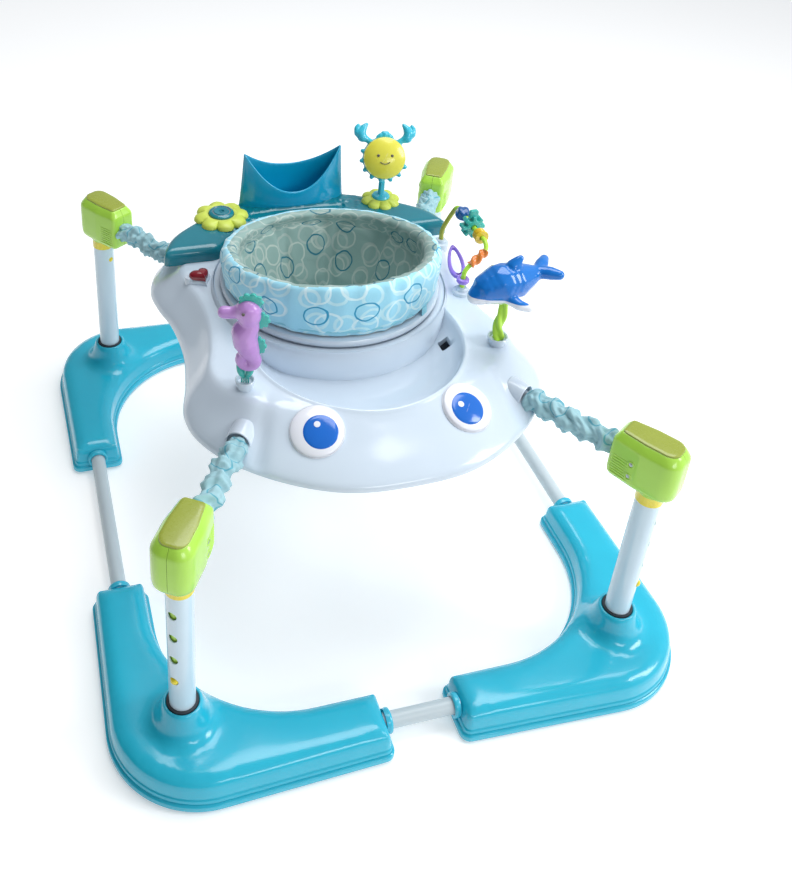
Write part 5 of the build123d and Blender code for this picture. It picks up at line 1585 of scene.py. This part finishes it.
# %% Give the seat its padding
PADDING = 3.2


def apply_modifiers(thing):
    """Bake the modifiers of an object into its mesh."""
    shape = thing.evaluated_get(bpy.context.evaluated_depsgraph_get())
    baked = bpy.data.meshes.new_from_object(shape, preserve_all_data_layers=True,
                                            depsgraph=bpy.context.evaluated_depsgraph_get())
    thing.modifiers.clear()
    thing.data = baked


thicken = seat.modifiers.new("padding", "SOLIDIFY")
thicken.thickness = PADDING * MM
thicken.offset = 0.0
apply_modifiers(seat)
before = np.array([v.co for v in seat.data.vertices])
cloth = seat.modifiers.new("inflate", "CLOTH")
cloth.settings.quality = 4
cloth.settings.mass = 0.25
cloth.settings.use_pressure = True
cloth.settings.uniform_pressure_force = 4.0
cloth.settings.tension_stiffness = 12.0
cloth.settings.compression_stiffness = 12.0
cloth.settings.bending_stiffness = 0.6
cloth.settings.vertex_group_mass = "sewn"
cloth.settings.effector_weights.gravity = 0.0
cloth.collision_settings.use_collision = False
cloth.point_cache.frame_start = 1
cloth.point_cache.frame_end = 20
for frame_number in range(1, 21):
    scene.frame_set(frame_number)
apply_modifiers(seat)
after = np.array([v.co for v in seat.data.vertices])
moved = after - before
far = np.linalg.norm(moved, axis=1)
CAP = 0.006
moved *= np.minimum(1, CAP / np.maximum(far, 1e-9))[:, None]
seat.data.vertices.foreach_set("co", (before + moved).astype(np.float32).ravel())
print("cloth moved the padding by up to", round(float(far.max()) * 1000, 1), "mm")
scene.frame_set(1)
# Faces inside the bucket take the darker copy of the print, which is painted shade.
for face in seat.data.polygons:
    centre = face.center
    outward = face.normal.x * centre.x + face.normal.y * (centre.y - SEAT_Y * MM)
    reach = math.hypot(centre.x, centre.y - SEAT_Y * MM) * 1000
    on_outside = outward > 0 and (reach > 155 or centre.z < rim_z - 0.05)
    face.material_index = 1 if on_outside else 0
seat.data.shade_smooth()
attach(seat, "seat")
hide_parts("seat_fabric")

# %% [markdown]
# The lower edge of the outside band is bound with tape, and so are the leg openings. A line of stitches runs
# just above the band's tape. The tape is a turned strip that follows the band, each stitch is a short thread
# that thins at its ends, and a small blank label is sewn into the seam.

# %% Seat binding, stitches and label
tape = lathe([(163.2, -3.2), (164.6, -1.6), (164.8, 1.6), (163.4, 3.2), (161.6, 1.6), (161.4, -1.8)],
             (0, SEAT_Y, RIM_TOP - 74), segments=160, closed=True)
tape = ([(x, y, slanted(y, z)) for x, y, z in tape[0]], tape[1])
STITCHES = 140
threads = []
for k in range(STITCHES):
    a0 = 2 * math.pi * k / STITCHES
    arc = [(164.4 * math.cos(a0 + f), SEAT_Y + 164.4 * math.sin(a0 + f)) for f in (0, 0.013, 0.026)]
    arc = [(x, y, slanted(y, RIM_TOP - 66)) for x, y in arc]
    threads.append(tube(arc, (0.3, 0.55, 0.3), 6))
leg_tapes = []
for side in (-1, 1):
    hem = [on_bucket(side * LEG_X + (LEG_R + 0.5) * math.cos(a), SEAT_Y + LEG_Y + (LEG_R + 0.5) * math.sin(a))
           for a in np.linspace(0, 2 * math.pi, 73)]
    leg_tapes.append(tube(hem, 2.8, 10))
binding = piece("seat_binding", joined(tape, *leg_tapes), edge_binding, "seat")
stitching = piece("seat_stitches", joined(*threads), seat_outside, "seat")
tag_turn = math.radians(-50)
tag_at = Vector((166 * math.cos(tag_turn), SEAT_Y + 166 * math.sin(tag_turn), RIM_TOP - 82))
tag_out = Vector((math.cos(tag_turn), math.sin(tag_turn), 0.1))
tag = cut_shape([rounded([(-7, -9, 1), (7, -9, 1), (7, 7, 1), (-7, 7, 1)], 2)], 0.8, 0.3, tag_at,
                Vector((0, 0, 1)).cross(tag_out), tag_out)
label = piece("blank_label", tag, edge_binding, "seat")
for thing in (binding, stitching, label):
    layer = thing.data.uv_layers.new(name="cut")
    for loop in thing.data.loops:
        co = thing.data.vertices[loop.vertex_index].co
        layer.data[loop.index].uv = (0.16 * math.atan2(co.y - SEAT_Y * MM, co.x), co.z)

# %% [markdown]
# ## Gathered sleeves and their springs
#
# Each spring hides in a cloth sleeve that is much longer than the gap, so it bunches up. The folds run round
# the tube at changing slants, overlap and never repeat. The radius along the sleeve is a sum of a few waves
# whose phase shifts with the angle, with sharp outer folds and soft inner ones. Sleeve and spring cross the
# bouncing joint, so neither rides on a body: both are fixed in place from the post head to the tray.


# %% Sleeves and springs
SLEEVE_ROWS, SLEEVE_SIDES = 110, 72
PRINT_ROUND, PRINT_ALONG = 0.11, 0.23  # metres of printed cloth round a sleeve and along it


def gathered(seed, start, stop):
    """A bunched tube along +X from start to stop."""
    along = np.linspace(start, stop, SLEEVE_ROWS)
    around_tube = full_turn(SLEEVE_SIDES)
    rings = []
    for x in along:
        f = (x - start) / (stop - start)
        slant = 4.6 * f + 0.42 * np.sin(around_tube + seed) + 0.16 * np.sin(2 * around_tube + 3 * f)
        wave = np.sin(2 * math.pi * slant + seed)
        slant = 10.5 * f + 0.45 * np.sin(2 * around_tube - seed * 2) + 0.3 * np.sin(3 * around_tube)
        fine = np.sin(2 * math.pi * slant + 2 * seed)
        lengthwise = np.sin(5 * around_tube + 9 * f + seed) + 0.6 * np.sin(9 * around_tube - 7 * f)
        fold = np.sign(wave) * np.abs(wave) ** 0.7
        r = 15.2 + 2.6 * fold + 1.3 * fine + 1.1 * lengthwise
        ends = min(1.0, (x - start) / 7, (stop - x) / 7)
        r = 11.4 + (r - 11.4) * (0.25 + 0.75 * max(0.0, ends))
        drift = 1.1 * np.array([math.sin(4 * f * math.pi + seed), math.cos(3.3 * f * math.pi + seed)])
        lean = 2.6 * np.cos(around_tube + seed * 3 + 8 * f)
        rings.append(np.stack([x + lean, drift[0] * ends + r * np.cos(around_tube),
                               drift[1] * ends + r * np.sin(around_tube)], 1))
    return skin(rings, caps=(False, False))


def coil(start, stop, radius, wire, turns):
    """A close-wound tension spring along +X."""
    t = np.linspace(0, 2 * math.pi * turns, turns * 14)
    path = np.stack([start + (stop - start) * t / t[-1], radius * np.cos(t), radius * np.sin(t)], 1)
    return tube(path, wire, 6)


for number, (corner, (sx, sy)) in enumerate(CORNERS.items()):
    inward = to_tray(sx, sy)
    place = Vector((sx * post.x, sy * post.y, STRAP_Z))
    bunched = gathered(1.7 * number + 0.4, SLEEVE_START - 5, SLEEVE_STOP + 12)
    sleeve = piece(f"gathered_sleeve_{corner}", stood_at(bunched, place, inward), sleeve_poplin, None,
                   [f"sleeve_{corner}"], sharp=180, ride=False)
    layer = sleeve.data.uv_layers.new(name="cut")
    for loop in sleeve.data.loops:
        k, i = divmod(loop.vertex_index, SLEEVE_SIDES)
        layer.data[loop.index].uv = (i / SLEEVE_SIDES * PRINT_ROUND, k / SLEEVE_ROWS * PRINT_ALONG)
    spring = piece(f"tension_spring_{corner}", stood_at(coil(48, 192, 7.2, 0.9, 52), place, inward), zinc,
                   None, ["springs"], ride=False)
    for thing in (sleeve, spring):
        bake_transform(thing)
    area = sum(face.area for face in sleeve.data.polygons)
    print(corner, "sleeve area", round(area, 4), "square metres")

# %% [markdown]
# ## Finishes for the CAD parts that stay
#
# Tubes, bushes, buttons, plates, feet and screws already have their real shape, so they only get a finish.
# The rest of the frame is left exactly as it was made. One small domed stop shows high on the back left post.

# %% CAD finishes
FINISH = {"post_tube": white_enamel, "frame_tube": grey_enamel, "inner_post": lime_abs,
          "snap_button": yellow_abs, "post_bushes": yellow_abs, "socket_seals": dark_rubber,
          "feet": dark_rubber, "base_screws": zinc, "base_plates": blow_moulded_turquoise,
          "tray_underside": white_abs}
for name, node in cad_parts.items():
    finish = next((f for start, f in FINISH.items() if name.startswith(start)), None)
    if finish is None:
        continue
    if not node.material_slots:
        node.data.materials.append(finish)
    for material_slot in node.material_slots:
        material_slot.material = finish
print("CAD nodes shown:", sum(not node.hide_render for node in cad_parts.values()))

# %% Snap button noses and the stop on the back left post
HOLE_R = 6.1
button_z = middle("snap_button_front_left").z
NOSE = [(0.05, 5.4), (2.0, 5.1), (4.0, 3.9), (5.4, 2.0), (HOLE_R, 0.0), (HOLE_R, -4.5)]
for corner, (sx, sy) in CORNERS.items():
    facing = Vector((sx, sy, 0)).normalized()
    at = Vector((sx * post.x, sy * post.y, button_z)) + facing * 15.4
    piece(f"snap_button_nose_{corner}", lathe(NOSE, at, facing, 32), yellow_abs, f"button_{corner}")
stop_at = Vector((-post.x, post.y, top_of("post_tube_back_left") - 24)) + Vector((0.6, -0.8, 0)) * 17.2
stop_form = lathe([(0.05, 1.8), (2.0, 1.5), (3.0, 0.5), (4.4, 0.6), (4.8, -0.6)], stop_at, (0.6, -0.8, 0), 24)
piece("post_stop_dot", stop_form, yellow_abs, "base")
